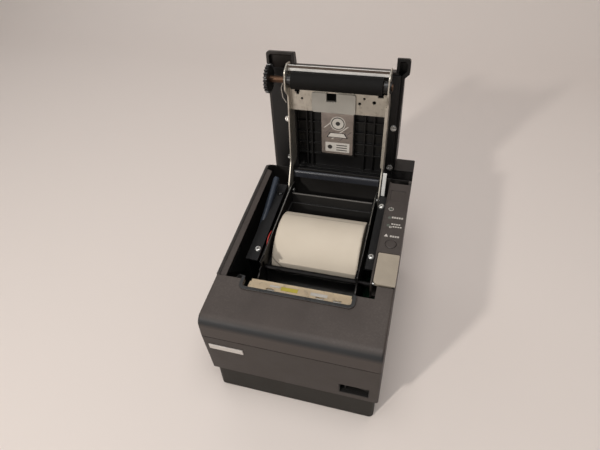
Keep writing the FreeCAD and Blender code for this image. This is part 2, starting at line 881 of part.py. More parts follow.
def reduction_gear():
    phase = reduction_bearing - 180 + 180 / small_gear_teeth
    small = gear(drive_gear_x, drive_gear_x + gear_width + gear_face_gap, reduction_y, reduction_z,
                 small_gear_teeth, stud_radius + running_fit, phase)
    large = gear(large_gear_x, large_gear_x + gear_width, reduction_y, reduction_z, large_gear_teeth,
                 stud_radius + running_fit, motor_bearing)
    return fused([small, large])


def platen_gear():
    return gear(drive_gear_x, drive_gear_x + gear_width, platen_y, platen_z, platen_gear_teeth,
                shaft_radius, reduction_bearing)


def platen_shaft():
    return rod_x(drive_gear_x - 0.6, path_centre + arm_outer + 2.4, platen_y, platen_z, shaft_radius)


def platen_rubber():
    x0 = path_centre - platen_length / 2
    roller = rod_x(x0, x0 + platen_length, platen_y, platen_z, platen_radius)
    return roller.cut(rod_x(x0, x0 + platen_length, platen_y, platen_z, shaft_radius))


def platen_bushes():
    bushes = []
    for x0, x1 in both_sides(plate_inner - 1.2, arm_outer + 1.2):
        bush = rod_x(x0, x1, platen_y, platen_z, bush_radius)
        bushes.append(bush.cut(rod_x(x0, x1, platen_y, platen_z, shaft_radius + running_fit)))
    return Part.makeCompound(bushes)


# Cutter

def cutter_frame():
    x0 = path_centre - plate_outer
    x1 = path_centre + plate_outer
    plate = box(x0, x1, frame_front_y, blade_edge_y + 1, cutter_level, cutter_level + plate_thickness)
    window = box(path_centre - rack_width / 2 - 1, path_centre + rack_width / 2 + 1,
                 cutter_gear_y - 16, cutter_gear_y + 19, 0, far)
    spacers = []
    for side in both_sides(plate_outer - 1.5, plate_outer):
        spacers.append(box(side[0], side[1], blade_edge_y + 1 - guide_depth, blade_edge_y + 1,
                           cutter_level + plate_thickness - 0.2, guide_level))
    return fused([plate.cut(window)] + spacers)


def cutter_guide():
    """Passivated steel strip over the moving blade, seen through the paper slot."""
    strip = box(path_centre - plate_outer, path_centre + plate_outer, blade_edge_y + 1 - guide_depth,
                blade_edge_y + 1, guide_level, guide_level + guide_thickness)
    for x in (-30.0, 12.0, 26.0):
        strip = strip.cut(box(x, x + 7, blade_edge_y - 5.5, blade_edge_y - 3, 0, far))
    return strip


def moving_blade():
    half = plate_outer - 1.5 - blade_gap
    blade = box(path_centre - half, path_centre + half, blade_edge_y - blade_depth, blade_edge_y,
                blade_level, blade_level + blade_thickness)
    rack_x0 = path_centre - rack_width / 2
    rack_y0 = cutter_gear_y - 12.5
    bar_bottom = rack_pitch_z + 0.85 * gear_module + 0.35
    bar = box(rack_x0, rack_x0 + rack_width, rack_y0, blade_edge_y - blade_depth + 3,
              bar_bottom, blade_level + blade_thickness)
    step = math.pi * gear_module
    teeth = []
    for i in range(-3, 3):
        y = cutter_gear_y + (i + 0.5) * step
        corners = [
            (y - 0.30 * step, bar_bottom + 0.2, 0),
            (y - 0.12 * step, rack_pitch_z - 0.8 * gear_module, 0),
            (y + 0.12 * step, rack_pitch_z - 0.8 * gear_module, 0),
            (y + 0.30 * step, bar_bottom + 0.2, 0),
        ]
        teeth.append(side_prism(corners, rack_x0, rack_x0 + rack_width))
    return fused([blade, bar] + teeth)


def cutter_gear():
    x0 = path_centre - rack_width / 2
    wheel = gear(x0, x0 + rack_width, cutter_gear_y, cutter_gear_z, cutter_gear_teeth, 0.8, 90)
    shaft = rod_x(x0, x0 + rack_width + 20, cutter_gear_y, cutter_gear_z, stud_radius)
    return fused([wheel, shaft])


def cutter_motor():
    x0 = path_centre + rack_width / 2 + 4
    can = rod_x(x0, x0 + cutter_motor_length, cutter_gear_y, cutter_gear_z, cutter_motor_radius)
    bracket = box(x0, x0 + 2, cutter_gear_y - 9, cutter_gear_y + 9, cutter_gear_z, cutter_level)
    knob = rod_x(x0 + cutter_motor_length, x0 + cutter_motor_length + 4, cutter_gear_y, cutter_gear_z, 5)
    motor = fused([can, bracket, knob])
    return motor.cut(rod_x(x0, x0 + 18, cutter_gear_y, cutter_gear_z, stud_radius + running_fit))


# Cover lock

def lock_pad_top():
    return lock_z + 7.0


def lock_shaft():
    """Shaft with a hook beside each platen bush and a pad under the lever's post."""
    post_x0, post_x1, post_y0, post_y1 = lever_post_place()
    shaft = rod_x(path_centre - plate_inner + 0.1, post_x1, lock_y, lock_z, lock_radius)
    nose_y = platen_y + bush_radius + 1.0
    hook = [
        (lock_y - 3, lock_z - 3, 2),
        (lock_y + 3, lock_z - 3, 2),
        (lock_y + 2, platen_z + 6, 2),
        (nose_y, platen_z + 7, 0.8),
        (nose_y, platen_z + 5, 0.6),
        (lock_y - 2, platen_z + 2, 1),
    ]
    pieces = [shaft]
    for x0, x1 in both_sides(plate_inner - 0.1 - hook_thickness, plate_inner - 0.1):
        pieces.append(side_prism(hook, x0, x1))
    pad_y = (post_y0 + post_y1) / 2
    crank = [
        (lock_y - 3, lock_z - 3, 2),
        (lock_y + 4, lock_z - 3, 2),
        (pad_y + 2, lock_pad_top() - 3, 1),
        (pad_y + 2, lock_pad_top(), 1),
        (pad_y - 2, lock_pad_top(), 1),
        (lock_y - 3, lock_z + 3, 2),
    ]
    pieces.append(side_prism(crank, post_x0, post_x1))
    return fused(pieces)


# Roll cover, built closed

def lid_corners(inset):
    """Side outline of the closed cover; a positive inset gives the hollow, open below."""
    front = front_cover_left_y + seam_gap
    rear_start = rear_y - rear_corner_run
    upper = [
        (front + inset, cover_front_height - inset, 4),
        (cover_crest_y, cover_height + 0.4 - inset * 1.05, 70),
        (rear_y - 13.5 - inset * 0.5, cover_height - inset, 22),
        (rear_y - inset, cover_height - 16 - inset * 0.5, 14),
    ]
    if inset > 0:
        return upper + [(rear_y - inset, hinge_z, 0), (front + inset, hinge_z - 20, 0)]
    return upper + [
        (rear_y, rear_wall_top + rim_gap, 0),
        (rear_start, top_z(rear_start) + rim_gap, rear_corner_radius),
        (front, top_z(front) + rim_gap, 0),
    ]


def lid_plan(inset):
    """Plan corners of the cover: two front ears, and the right rear part over the control panel."""
    front = front_cover_left_y + seam_gap + inset
    flare_rear = front + ear_flare_length - 2 * inset
    flare = ear_right_end - cover_right_x
    return [
        (-half_width + inset, front, 3),
        (ear_right_end - inset, front, 3),
        (ear_right_end - inset, flare_rear, 0.5),
        (cover_right_x - inset, flare_rear + flare, 0),
        (cover_right_x - inset, cover_wing_y + inset, 0),
        (half_width - inset, cover_wing_y + inset, 1),
        (half_width - inset, rear_y - inset, 6),
        (-half_width + inset, rear_y - inset, 6),
    ]


def lid_solid(inset):
    return side_prism(lid_corners(inset), -half_width, half_width).common(plan_prism(lid_plan(inset), 0, far))


def cover_shell():
    skin = cover_skin
    notch_y = front_cover_left_y + seam_gap + ear_length
    shell = lid_solid(0).cut(lid_solid(skin))
    ear_left = -half_width + ear_left_width
    before_notch = box(-far, far, -far, notch_y, 0, far)
    walls = [
        side_prism(lid_corners(0), ear_left - skin, ear_right_start + skin).common(
            box(-far, far, notch_y, notch_y + skin, 0, far)),
        side_prism(lid_corners(0), ear_left - skin, ear_left).common(before_notch),
        side_prism(lid_corners(0), ear_right_start, ear_right_start + skin).common(before_notch),
    ]
    shell = fused([shell] + walls)
    return opened(shell.cut(box(ear_left, ear_right_start, -far, notch_y, 0, far)))


def liner_span():
    """Plan extent of the liner: left, right, front and rear."""
    front = front_cover_left_y + seam_gap + ear_length + cover_skin + 0.4
    return -half_width + cover_skin + 0.4, cover_right_x - cover_skin - 0.4, front, hinge_y - 9


def cover_liner():
    left, right, front, rear = liner_span()
    bottom = -1.0
    top = bottom + liner_thickness
    plate = top_box(left, right, front, rear, bottom, top)
    well_left = path_centre - arm_inner + 1.5
    well_right = path_centre + arm_inner - 1.5
    well_front = label_front_y - 1
    well_rear = rear - 8
    wall = liner_thickness
    well = top_box(well_left - wall, well_right + wall, well_front - wall, well_rear + wall,
                   bottom, top + liner_recess)
    hollow = top_box(well_left, well_right, well_front, well_rear, bottom - 1, bottom + liner_recess)
    wing = top_box(right - 4, half_width - cover_skin - 0.4, cover_wing_y + cover_skin + 0.4, rear, 0.6, 2.4)
    liner = fused([plate, well, wing]).cut(hollow)
    pad_left = label_x() - label_width / 2 - 1.2
    pad_right = label_x() + label_width / 2 + 1.2
    ribs = [top_box(pad_left, pad_right, well_front - 1, label_front_y + label_length + 2,
                    bottom, bottom + liner_recess + 1)]
    for x in (well_left + 9, well_left + 14, pad_right + 9, pad_right + 18):
        ribs.append(top_box(x, x + 1.4, well_front - 1, well_rear + 1, bottom + 2.5, bottom + liner_recess + 1))
    for i in range(4):
        y = well_front + 11 + 12 * i
        ribs.append(top_box(pad_right, well_right + 1, y, y + 1.4, bottom + 3, bottom + liner_recess + 1))
        ribs.append(top_box(well_left - 1, pad_left, y + 4, y + 5.4, bottom + 4, bottom + liner_recess + 1))
    bar = top_box(well_left, well_right, rear - 6, rear, bottom - 3, bottom + 0.5, 0.8)
    return opened(fused([liner, bar] + ribs))


def label_x():
    return path_centre - 2.6


def cover_label():
    y1 = label_front_y + label_length
    return opened(top_box(label_x() - label_width / 2, label_x() + label_width / 2, label_front_y, y1,
                          -1.25, -1.0, 1.0))


def arm_corners():
    rear_y1 = hinge_y + 8
    step_y = hinge_y - arm_step_reach
    return [
        (rear_y1, hinge_z - 7, 6),
        (rear_y1, hinge_z + 8, 6),
        (step_y + 3, hinge_z + 8, 4),
        (step_y, top_z(step_y) - 1.1, 3),
        (platen_y + 16, top_z(platen_y + 16) - 1.1, 3),
        (platen_y + 8, platen_z + 10, 3),
        (fixed_blade_edge_y - 1, platen_z + 10, 2),
        (fixed_blade_edge_y - 1, platen_z + 0.5, 2),
        (platen_y - 9, platen_z - 7, 4),
        (platen_y + 8, platen_z - 7, 4),
        (platen_y + 15, platen_z + 2.4, 4),
        (hinge_y - 32, hinge_z + 2, 10),
        (hinge_y - 8, hinge_z - 7, 6),
    ]


def cross_plate_y():
    return platen_y + 8.2, platen_y + 29.2


def bracket_left():
    return label_x() - bracket_width / 2 - 1.4


def bracket_notch_span():
    """Notch in the bracket, open behind: left, right, front and rear."""
    left = bracket_left() + bracket_width * 0.34
    front = cross_plate_y()[0] + 1.7
    return left, left + bracket_notch, front - 6, front + 8


def cover_frame():
    """Folded sheet-steel frame: two arms, a holed cross plate and the blade seat."""
    arms = []
    for x0, x1 in both_sides(arm_inner, arm_outer):
        arm = side_prism(arm_corners(), x0, x1)
        arm = arm.cut(rod_x(x0, x1, platen_y, platen_z, bush_radius))
        arms.append(arm.cut(rod_x(x0, x1, hinge_y, hinge_z, hinge_pin_radius + running_fit)))
    x0 = path_centre - arm_outer
    x1 = path_centre + arm_outer
    y0, y1 = cross_plate_y()
    cross = top_box(x0, x1, y0, y1, -11.2, -10.0)
    holes = ((-38, 4, 1.5), (-34, 9, 1.1), (-24, 11, 1.1), (20, 10, 1.4), (24, 5, 1.1), (33, 8, 1.7))
    for x, y, radius in holes:
        cross = cross.cut(top_rod(path_centre + x, y0 + y, -20, 0, radius))
    for x in (-41, 36):
        cross = cross.cut(top_box(path_centre + x, path_centre + x + 5, y0 - 1, y0 + 3, -20, 0))
    left, right, front, rear = bracket_notch_span()
    cross = cross.cut(top_box(left, right, y0 + 2.2, rear, -20, 0, 1.0))
    seat_z = blade_level + blade_thickness + 2 * blade_gap
    seat_rear = fixed_blade_edge_y + fixed_blade_depth + 1
    seat = box(x0, x1, fixed_blade_edge_y + 2, seat_rear, seat_z, seat_z + plate_thickness)
    return opened(fused(arms + [cross, seat]))


def cover_bracket():
    """Light grey notched plate on the cross plate of the cover frame."""
    y0 = cross_plate_y()[0] + 1.7
    y1 = y0 + bracket_length
    left = bracket_left()
    plate = top_box(left, left + bracket_width, y0, y1, -12.9, -11.2, 2.0)
    notch = top_box(*bracket_notch_span(), -20, 0, 1.0)
    return opened(plate.cut(notch))


def fixed_blade():
    half = arm_inner - 0.2
    return opened(box(path_centre - half, path_centre + half, fixed_blade_edge_y,
                      fixed_blade_edge_y + fixed_blade_depth, fixed_blade_level,
                      fixed_blade_level + fixed_blade_thickness))


def ground_spring():
    """Bent wire that earths the platen, from the blade seat past the shaft and along the left arm."""
    radius = 0.45
    arm_x = path_centre - arm_outer - radius
    touch_z = platen_z + shaft_radius + radius + 0.3
    runs = [
        (Vector(arm_x, platen_y - 9, touch_z + 4), 0),
        (Vector(arm_x - 3.0, platen_y, touch_z), 6),
        (Vector(arm_x - 6.2, platen_y + 10, touch_z + 2), 6),
        (Vector(arm_x - 5.4, platen_y + 19, touch_z + 4), 3),
        (Vector(arm_x - 2.6, platen_y + 24, touch_z + 5), 0),
    ]
    return opened(bent_wire(runs, radius))


def cover_screws():
    """Screw heads on the liner, beside the arms."""
    left = path_centre - arm_outer - 6
    right = path_centre + arm_outer + 5
    screws = []
    for x, y in ((left, 12.0), (left, 56.0), (right, 12.0), (right, 56.0)):
        head = top_rod(x, y, -1.0 - screw_height, -1.0, screw_radius)
        slot = top_box(x - screw_radius, x + screw_radius, y - 0.4, y + 0.4, -3.5, -1.0 - screw_height + 0.7)
        screws.append(opened(head.cut(slot)))
    return Part.makeCompound(screws)


# Power switch

def power_switch_body():
    x0, x1, z0, z1 = switch_window(1.5)
    front = front_y + front_lean + case_wall + 0.3
    body = box(x0, x1, front, front + 16, z0, z1)
    x0, x1, z0, z1 = switch_window(-0.5)
    divider = x0 + switch_divider
    body = body.cut(box(x0, divider - 1, front, front + 3, z0, z1))
    body = body.cut(box(divider, x1, front, front + 9, z0, z1))
    pivot_x, pivot_y = rocker_pivot()
    return body.cut(rod_z(pivot_x, pivot_y, z0 - 0.9, z1 + 0.9, 1.2 + running_fit))


def rocker_pivot():
    x0, x1, z0, z1 = switch_window(-0.5)
    front = front_y + front_lean + case_wall + 0.3
    return (x0 + switch_divider + x1) / 2, front + 4.6


def power_rocker():
    """Two-sided rocker, tipped to its off side."""
    x0, x1, z0, z1 = switch_window(-0.5)
    pivot_x, pivot_y = rocker_pivot()
    half = (x1 - x0 - switch_divider) / 2 - 0.6
    corners = [
        (pivot_x - half, pivot_y - 2.6, 0.6),
        (pivot_x, pivot_y - 1.6, 0),
        (pivot_x + half, pivot_y - 2.6, 0.6),
        (pivot_x + half, pivot_y - 0.6, 0),
        (pivot_x + 3, pivot_y + 2.4, 0.5),
        (pivot_x - 3, pivot_y + 2.4, 0.5),
        (pivot_x - half, pivot_y - 0.6, 0),
    ]
    cap = plan_prism(corners, z0 + 0.5, z1 - 0.5)
    rocker = fused([cap, rod_z(pivot_x, pivot_y, z0 - 0.7, z1 + 0.7, 1.2)])
    rocker.rotate(Vector(pivot_x, pivot_y, 0), Vector(0, 0, 1), -rocker_tilt)
    return rocker


# Electronics

def main_board():
    side = half_width - base_inset - base_wall - 3
    board = box(-side, side, frame_front_y + 4, rear_y - 12, board_level, board_level + board_thickness)
    for x, y in base_posts():
        board = board.cut(rod_z(x, y, 0, far, 5.3))
    top = board_level + board_thickness
    parts = [board]
    for x, y in ((-50, 60), (-50, 74), (46, 66)):
        parts.append(rod_z(x, y, top, top + 8, 5))
    parts.append(box(-14, 6, -20, 0, top, top + 2))
    parts.append(box(20, 34, -30, -12, top, top + 2))
    floor_top = foot_height + base_floor
    for x in (-side + 4, side - 4):
        for y in (frame_front_y + 8, rear_y - 16):
            parts.append(rod_z(x, y, floor_top, board_level, 2.5))
    return fused(parts)


def socket_places():
    return {"power": interface_centre - 30, "drawer": interface_centre - 8, "data": interface_centre + 20}


def socket_sizes():
    return {"power": (15.0, 14.0), "drawer": (14.0, 13.0), "data": (16.0, 12.0)}


def socket_body(name):
    x = socket_places()[name]
    width, height = socket_sizes()[name]
    z0 = interface_level + board_thickness
    return box(x - width / 2, x + width / 2, rear_y - 20, rear_y - 1, z0, z0 + height), x, z0 + height / 2


def power_socket():
    body, x, z = socket_body("power")
    hole = Part.makeCylinder(5.0, 11, Vector(x, rear_y - 12, z), Vector(0, 1, 0))
    body = body.cut(hole)
    pins = []
    for angle in (90, 210, 330):
        px = x + 2.6 * math.cos(math.radians(angle))
        pz = z + 2.6 * math.sin(math.radians(angle))
        pins.append(Part.makeCylinder(0.6, 6.5, Vector(px, rear_y - 12.5, pz), Vector(0, 1, 0)))
    return fused([body] + pins)


def drawer_socket():
    body, x, z = socket_body("drawer")
    body = body.cut(box(x - 5, x + 5, rear_y - 13, rear_y, z - 4.5, z + 3))
    return body.cut(box(x - 2, x + 2, rear_y - 8, rear_y, z + 2.5, z + 5))


def data_socket():
    body, x, z = socket_body("data")
    body = body.cut(box(x - 6, x + 6, rear_y - 11, rear_y, z - 4.3, z + 4.3))
    return fused([body, box(x - 3, x + 3, rear_y - 11.5, rear_y - 3, z - 3.2, z - 0.8)])


def interface_board():
    x0, x1, z0, z1 = interface_window(-2)
    top = interface_level + board_thickness
    return box(x0, x1, rear_y - 22, rear_y - case_wall - 1.5, interface_level, top)


def interface_plate():
    """Bright steel plate inside the rear wall, round the sockets."""
    x0, x1, z0, z1 = interface_window(2.4)
    inner_y = rear_y - case_wall
    plate = box(x0, x1, inner_y - 1.5, inner_y, z0, z1)
    for name, x in socket_places().items():
        width, height = socket_sizes()[name]
        bottom = interface_level + board_thickness
        plate = plate.cut(box(x - width / 2 - 0.2, x + width / 2 + 0.2, 0, far, bottom, bottom + height + 0.2))
    return plate


nodes = {
    "bottom_case": bottom_case(),
    "case_screws": case_screws(),
    "rubber_feet": rubber_feet(),
    "main_case": main_case(),
    "badge_plate": badge_plate(),
    "front_cover": front_cover(),
    "control_panel": control_panel(),
    "panel_board": panel_board(),
    "status_lamps": status_lamps(),
    "feed_button": feed_button(),
    "cover_open_lever": cover_open_lever(),
    "lever_pin": lever_pin(),
    "frame_base_plate": frame_base_plate(),
    "frame_left_plate": frame_left_plate(),
    "frame_right_plate": frame_right_plate(),
    "hinge_pins": hinge_pins(),
    "roll_tray": roll_tray(),
    "left_side_panel": inner_panel(-1),
    "right_side_panel": inner_panel(1),
    "bay_rear_panel": bay_rear_panel(),
    "frame_screws": frame_screws(),
    "near_end_sensor": near_end_sensor(),
    "red_lead": red_lead(),
    "paper_roll": paper_roll(),
    "roll_core": roll_core(),
    "print_head_sink": print_head_sink(),
    "print_head_ceramic": print_head_ceramic(),
    "head_spring": head_spring(),
    "feed_motor": feed_motor(),
    "feed_pinion": feed_pinion(),
    "reduction_gear": reduction_gear(),
    "cutter_frame": cutter_frame(),
    "cutter_guide": cutter_guide(),
    "moving_blade": moving_blade(),
    "cutter_gear": cutter_gear(),
    "cutter_motor": cutter_motor(),
    "lock_shaft": lock_shaft(),
    "cover_shell": cover_shell(),
    "cover_liner": cover_liner(),
    "cover_label": cover_label(),
    "cover_frame": cover_frame(),
    "cover_bracket": cover_bracket(),
    "fixed_blade": fixed_blade(),
    "ground_spring": ground_spring(),
    "cover_screws": cover_screws(),
    "platen_bushes": opened(platen_bushes()),
    "platen_shaft": opened(platen_shaft()),
    "platen_rubber": opened(platen_rubber()),
    "platen_gear": opened(platen_gear()),
    "power_switch_body": power_switch_body(),
    "power_rocker": power_rocker(),
    "main_board": main_board(),
    "interface_plate": interface_plate(),
    "interface_board": interface_board(),
    "power_socket": power_socket(),
    "drawer_socket": drawer_socket(),
    "data_socket": data_socket(),
}

# The origin is at the middle of the open printer's box, on the surface that the feet stand on
whole = Part.makeCompound(list(nodes.values())).optimalBoundingBox(False, False)
origin = Vector(-whole.Center.x, -whole.Center.y, -whole.ZMin)

os.makedirs("parts", exist_ok=True)
for name, shape in nodes.items():
    shape.translate(origin)
    shape.exportStep("parts/" + name + ".step")
print("moved to the origin by", origin)
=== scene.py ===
import math

import bmesh
import bpy
from mathutils import Matrix, Vector


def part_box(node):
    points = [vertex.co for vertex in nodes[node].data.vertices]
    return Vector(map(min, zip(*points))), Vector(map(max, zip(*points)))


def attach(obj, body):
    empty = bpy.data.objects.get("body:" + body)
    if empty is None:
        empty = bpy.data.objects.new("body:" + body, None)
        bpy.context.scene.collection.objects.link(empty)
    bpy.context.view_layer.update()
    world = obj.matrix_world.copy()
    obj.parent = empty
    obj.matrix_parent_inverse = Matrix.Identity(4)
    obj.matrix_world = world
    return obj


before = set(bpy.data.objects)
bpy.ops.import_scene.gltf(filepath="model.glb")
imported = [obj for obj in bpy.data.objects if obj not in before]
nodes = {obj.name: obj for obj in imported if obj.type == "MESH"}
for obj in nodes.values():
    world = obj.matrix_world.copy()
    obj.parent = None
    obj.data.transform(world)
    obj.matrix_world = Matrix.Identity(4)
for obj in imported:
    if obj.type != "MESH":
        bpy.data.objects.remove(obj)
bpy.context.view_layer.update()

# Lower case: the dark tub that the printer stands on, moulded in ABS with a coarse spark-eroded grain.
# It is screwed up to the main case from below, and rubber feet are pressed into its floor.


def add_node(tree, kind, inputs=None, **settings):
    """New shader node with its settings and inputs; an input may be a value or another node's socket."""
    made = tree.nodes.new(kind)
    for key, value in settings.items():
        setattr(made, key, value)
    for key, value in (inputs or {}).items():
        if isinstance(value, bpy.types.NodeSocket):
            tree.links.new(value, made.inputs[key])
        else:
            made.inputs[key].default_value = value
    return made


def noise(tree, place, scale, detail, roughness=0.5):
    """Soft random value at a place; a larger scale gives finer spots."""
    inputs = {"Vector": place, "Scale": scale, "Detail": detail, "Roughness": roughness}
    return add_node(tree, "ShaderNodeTexNoise", inputs).outputs["Fac"]


def stretched(tree, place, scale, rotation=(0, 0, 0)):
    """Place with its axes turned and scaled, so that spots of noise become streaks."""
    inputs = {"Vector": place, "Rotation": rotation, "Scale": scale}
    return add_node(tree, "ShaderNodeMapping", inputs).outputs["Vector"]


def span(tree, value, low, high, to_low=0, to_high=1):
    """Value mapped from one span to another and held at its ends."""
    inputs = {"Value": value, "From Min": low, "From Max": high, "To Min": to_low, "To Max": to_high}
    return add_node(tree, "ShaderNodeMapRange", inputs).outputs["Result"]


def times(tree, a, b):
    """Product of two values."""
    return add_node(tree, "ShaderNodeMath", {0: a, 1: b}, operation="MULTIPLY").outputs[0]


def facing(tree, axis):
    """How far the surface faces along X, Y or Z, from -1 to 1."""
    normal = add_node(tree, "ShaderNodeNewGeometry").outputs["Normal"]
    return add_node(tree, "ShaderNodeSeparateXYZ", {0: normal}).outputs[axis]


def two_tones(tree, factor, dark_stop, light_stop):
    """Colour ramp between two stops, each a position and a colour."""
    made = add_node(tree, "ShaderNodeValToRGB", {"Fac": factor})
    for point, (position, colour) in zip(made.color_ramp.elements, (dark_stop, light_stop)):
        point.position = position
        point.color = (*colour, 1)
    return made.outputs["Color"]


def blend(tree, factor, first, second):
    """Mix that goes from the first colour to the second as the factor goes from 0 to 1."""
    inputs = {"Fac": factor, "Color1": first, "Color2": second}
    return add_node(tree, "ShaderNodeMixRGB", inputs).outputs["Color"]


def scaled(colour, factor):
    """Colour made lighter or darker by a factor."""
    return tuple(min(1.0, c * factor) for c in colour)


def new_finish(name):
    """New material, with its node tree, its shader and the place on the piece."""
    made = bpy.data.materials.new(name)
    made.use_nodes = True
    tree = made.node_tree
    place = add_node(tree, "ShaderNodeTexCoord").outputs["Object"]
    return made, tree, tree.nodes["Principled BSDF"], place


def raise_grain(tree, shade, height, strength, distance, edge_radius):
    """Bump from a height value over edges that are rounded by a small radius."""
    rounded = add_node(tree, "ShaderNodeBevel", {"Radius": edge_radius}, samples=4).outputs["Normal"]
    inputs = {"Height": height, "Strength": strength, "Distance": distance, "Normal": rounded}
    bump = add_node(tree, "ShaderNodeBump", inputs)
    tree.links.new(bump.outputs["Normal"], shade.inputs["Normal"])


dust_colour = (0.42, 0.38, 0.34, 1)
scuff_brightness = 2.6
scuff_stretch = (35, 900, 60)
scuff_turn = (0.4, 0.2, 0.7)
plastic_rough_spread = 0.06
plastic_grain_height = 0.0004
plastic_edge_radius = 0.0005


def moulded(name, colour, rough, grain=1500, depth=0.10, mottle=0.10, dust=0.0, scuff=0.0, shine=0.5):
    """Moulded plastic: grain, soft mottling, dust on upward faces, thin scuffs and rounded edges."""
    made, tree, shade, place = new_finish(name)
    cloud = noise(tree, place, scale=38, detail=6, roughness=0.62)
    dark, light = scaled(colour, 1 - mottle), scaled(colour, 1 + mottle)
    tone = two_tones(tree, cloud, (0.3, dark), (0.72, light))
    if dust > 0:
        upward = span(tree, facing(tree, "Z"), 0.3, 0.95)
        drifts = span(tree, noise(tree, place, scale=22, detail=7), 0.42, 0.75, 0.25, 1)
        specks = span(tree, noise(tree, place, scale=700, detail=3), 0.45, 0.72, 0.35, 1)
        settled = times(tree, times(tree, upward, drifts), specks)
        tone = blend(tree, times(tree, settled, dust), tone, dust_colour)
    if scuff > 0:
        scratches = noise(tree, stretched(tree, place, scuff_stretch, scuff_turn), scale=1, detail=2)
        worn = times(tree, span(tree, scratches, 0.70, 0.78), span(tree, cloud, 0.5, 0.68))
        tone = blend(tree, times(tree, worn, scuff), tone, (*scaled(colour, scuff_brightness), 1))
    tree.links.new(tone, shade.inputs["Base Color"])
    roughness = span(tree, cloud, 0.3, 0.7, rough - plastic_rough_spread, rough + plastic_rough_spread)
    tree.links.new(roughness, shade.inputs["Roughness"])
    fine = noise(tree, place, scale=grain, detail=2)
    raise_grain(tree, shade, fine, depth, plastic_grain_height, plastic_edge_radius)
    shade.inputs["Specular IOR Level"].default_value = shine
    return made


def dress(material, *names):
    """Give CAD nodes a material in place of their packed one."""
    for name in names:
        slots = nodes[name].data.materials
        slots.clear()
        slots.append(material)


dark_base = moulded("dark_base", (0.024, 0.0215, 0.018), 0.55, grain=1100, depth=0.2, scuff=0.3, shine=0.22)
dress(dark_base, "bottom_case")
dress(moulded("foot_rubber", (0.020, 0.020, 0.020), 0.85, grain=2200, depth=0.15), "rubber_feet")

# Boards and rear sockets: green glass-epoxy boards, and a zinc-plated plate at the back for three sockets.
# The boards are screwed down in the tub, and the sockets are soldered to the one behind the plate.

stain_colour = (0.16, 0.11, 0.07, 1)
streak_height = 0.0002
streak_strength = 0.10
metal_edge_radius = 0.0003
streak_smoother, streak_rougher = 0.08, 0.10


def metal(name, colour, rough, brush=(60, 2500, 2500), mottle=0.08, stain=0.0, metallic=1.0):
    """Sheet or turned metal with a brushed streak, soft mottling, stains and rounded edges."""
    made, tree, shade, place = new_finish(name)
    streak = noise(tree, stretched(tree, place, brush), scale=1, detail=4)
    cloud = noise(tree, place, scale=85, detail=6)
    dark, light = scaled(colour, 1 - mottle), scaled(colour, 1 + mottle)
    tone = two_tones(tree, cloud, (0.3, dark), (0.7, light))
    if stain > 0:
        spots = span(tree, noise(tree, place, scale=260, detail=5), 0.55, 0.75)
        tone = blend(tree, times(tree, spots, stain), tone, stain_colour)
    tree.links.new(tone, shade.inputs["Base Color"])
    shade.inputs["Metallic"].default_value = metallic
    roughness = span(tree, streak, 0.3, 0.7, rough - streak_smoother, rough + streak_rougher)
    tree.links.new(roughness, shade.inputs["Roughness"])
    raise_grain(tree, shade, streak, streak_strength, streak_height, metal_edge_radius)
    return made


board_green = moulded("board_green", (0.02, 0.11, 0.05), 0.4, grain=700, depth=0.1)
dress(board_green, "main_board", "interface_board")
zinc = metal("zinc_sheet", (0.64, 0.62, 0.58), 0.34, stain=0.12)
dress(zinc, "interface_plate", "data_socket")
dress(moulded("socket_black", (0.015, 0.015, 0.015), 0.45, depth=0.06), "power_socket", "drawer_socket")

# Steel frame: zinc-plated sheet, blanked and folded, screwed down in the tub to carry the mechanism.
# Its two side plates are blackened, with brighter cut edges, and the black lock shaft runs between them.

dress(zinc, "frame_base_plate")
side_plates = ("frame_left_plate", "frame_right_plate")
dress(metal("black_zinc", (0.055, 0.052, 0.050), 0.46, stain=0.1), *side_plates)
dress(metal("lock_steel", (0.016, 0.015, 0.015), 0.48, brush=(2500, 80, 80)), "lock_shaft")


def repaint(name, material, wanted):
    """Second material on those faces of a CAD node for which wanted(centre, normal) is true."""
    node = nodes[name]
    node.data.materials.append(material)
    for face in node.data.polygons:
        if wanted(node.matrix_world @ face.center, face.normal):
            face.material_index = 1


cut_edge = metal("cut_edge", (0.42, 0.41, 0.38), 0.34)
bare_edge_start_y = 0.012


def is_bare_edge(centre, normal):
    """True on the upward cut edges beside the roll."""
    return normal.z > 0.6 and centre.y > bare_edge_start_y


for plate_name in side_plates:
    repaint(plate_name, cut_edge, is_bare_edge)

# Dome screws and pins: bright plated steel, cold-headed, with cross recesses whose shade is painted as
# near-black crosses on three of them.
# The screws hold the frame and its side panels; the one at the left rear is blackened.

bright_screws = metal("bright_screws", (0.80, 0.79, 0.76), 0.24, metallic=0.75)
dress(bright_screws, "frame_screws", "hinge_pins")
blackened_screw = metal("blackened_screw", (0.05, 0.05, 0.05), 0.4)
left_screws_x = -0.045
rear_screws_y = 0.03


def is_left_rear_screw(centre, normal):
    """True on the screw behind the roll on the left."""
    return centre.x < left_screws_x and centre.y > rear_screws_y


repaint("frame_screws", blackened_screw, is_left_rear_screw)

front_y = -97.5
front_top_z = 100.6
slope_angle = math.radians(7.6)
shift_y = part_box("main_case")[0][1] * 1000 - front_y


def on_plan(x, y, z):
    """Point in metres from millimetres on the footprint, where the case's front is at front_y."""
    return Vector((x, y + shift_y, z)) / 1000


def slope(x, y, n):
    """Point at height n above the sloping top plane, from millimetres on the footprint."""
    z = front_top_z + math.tan(slope_angle) * (y - front_y)
    return on_plan(x, y - n * math.sin(slope_angle), z + n * math.cos(slope_angle))


scene = bpy.context.scene


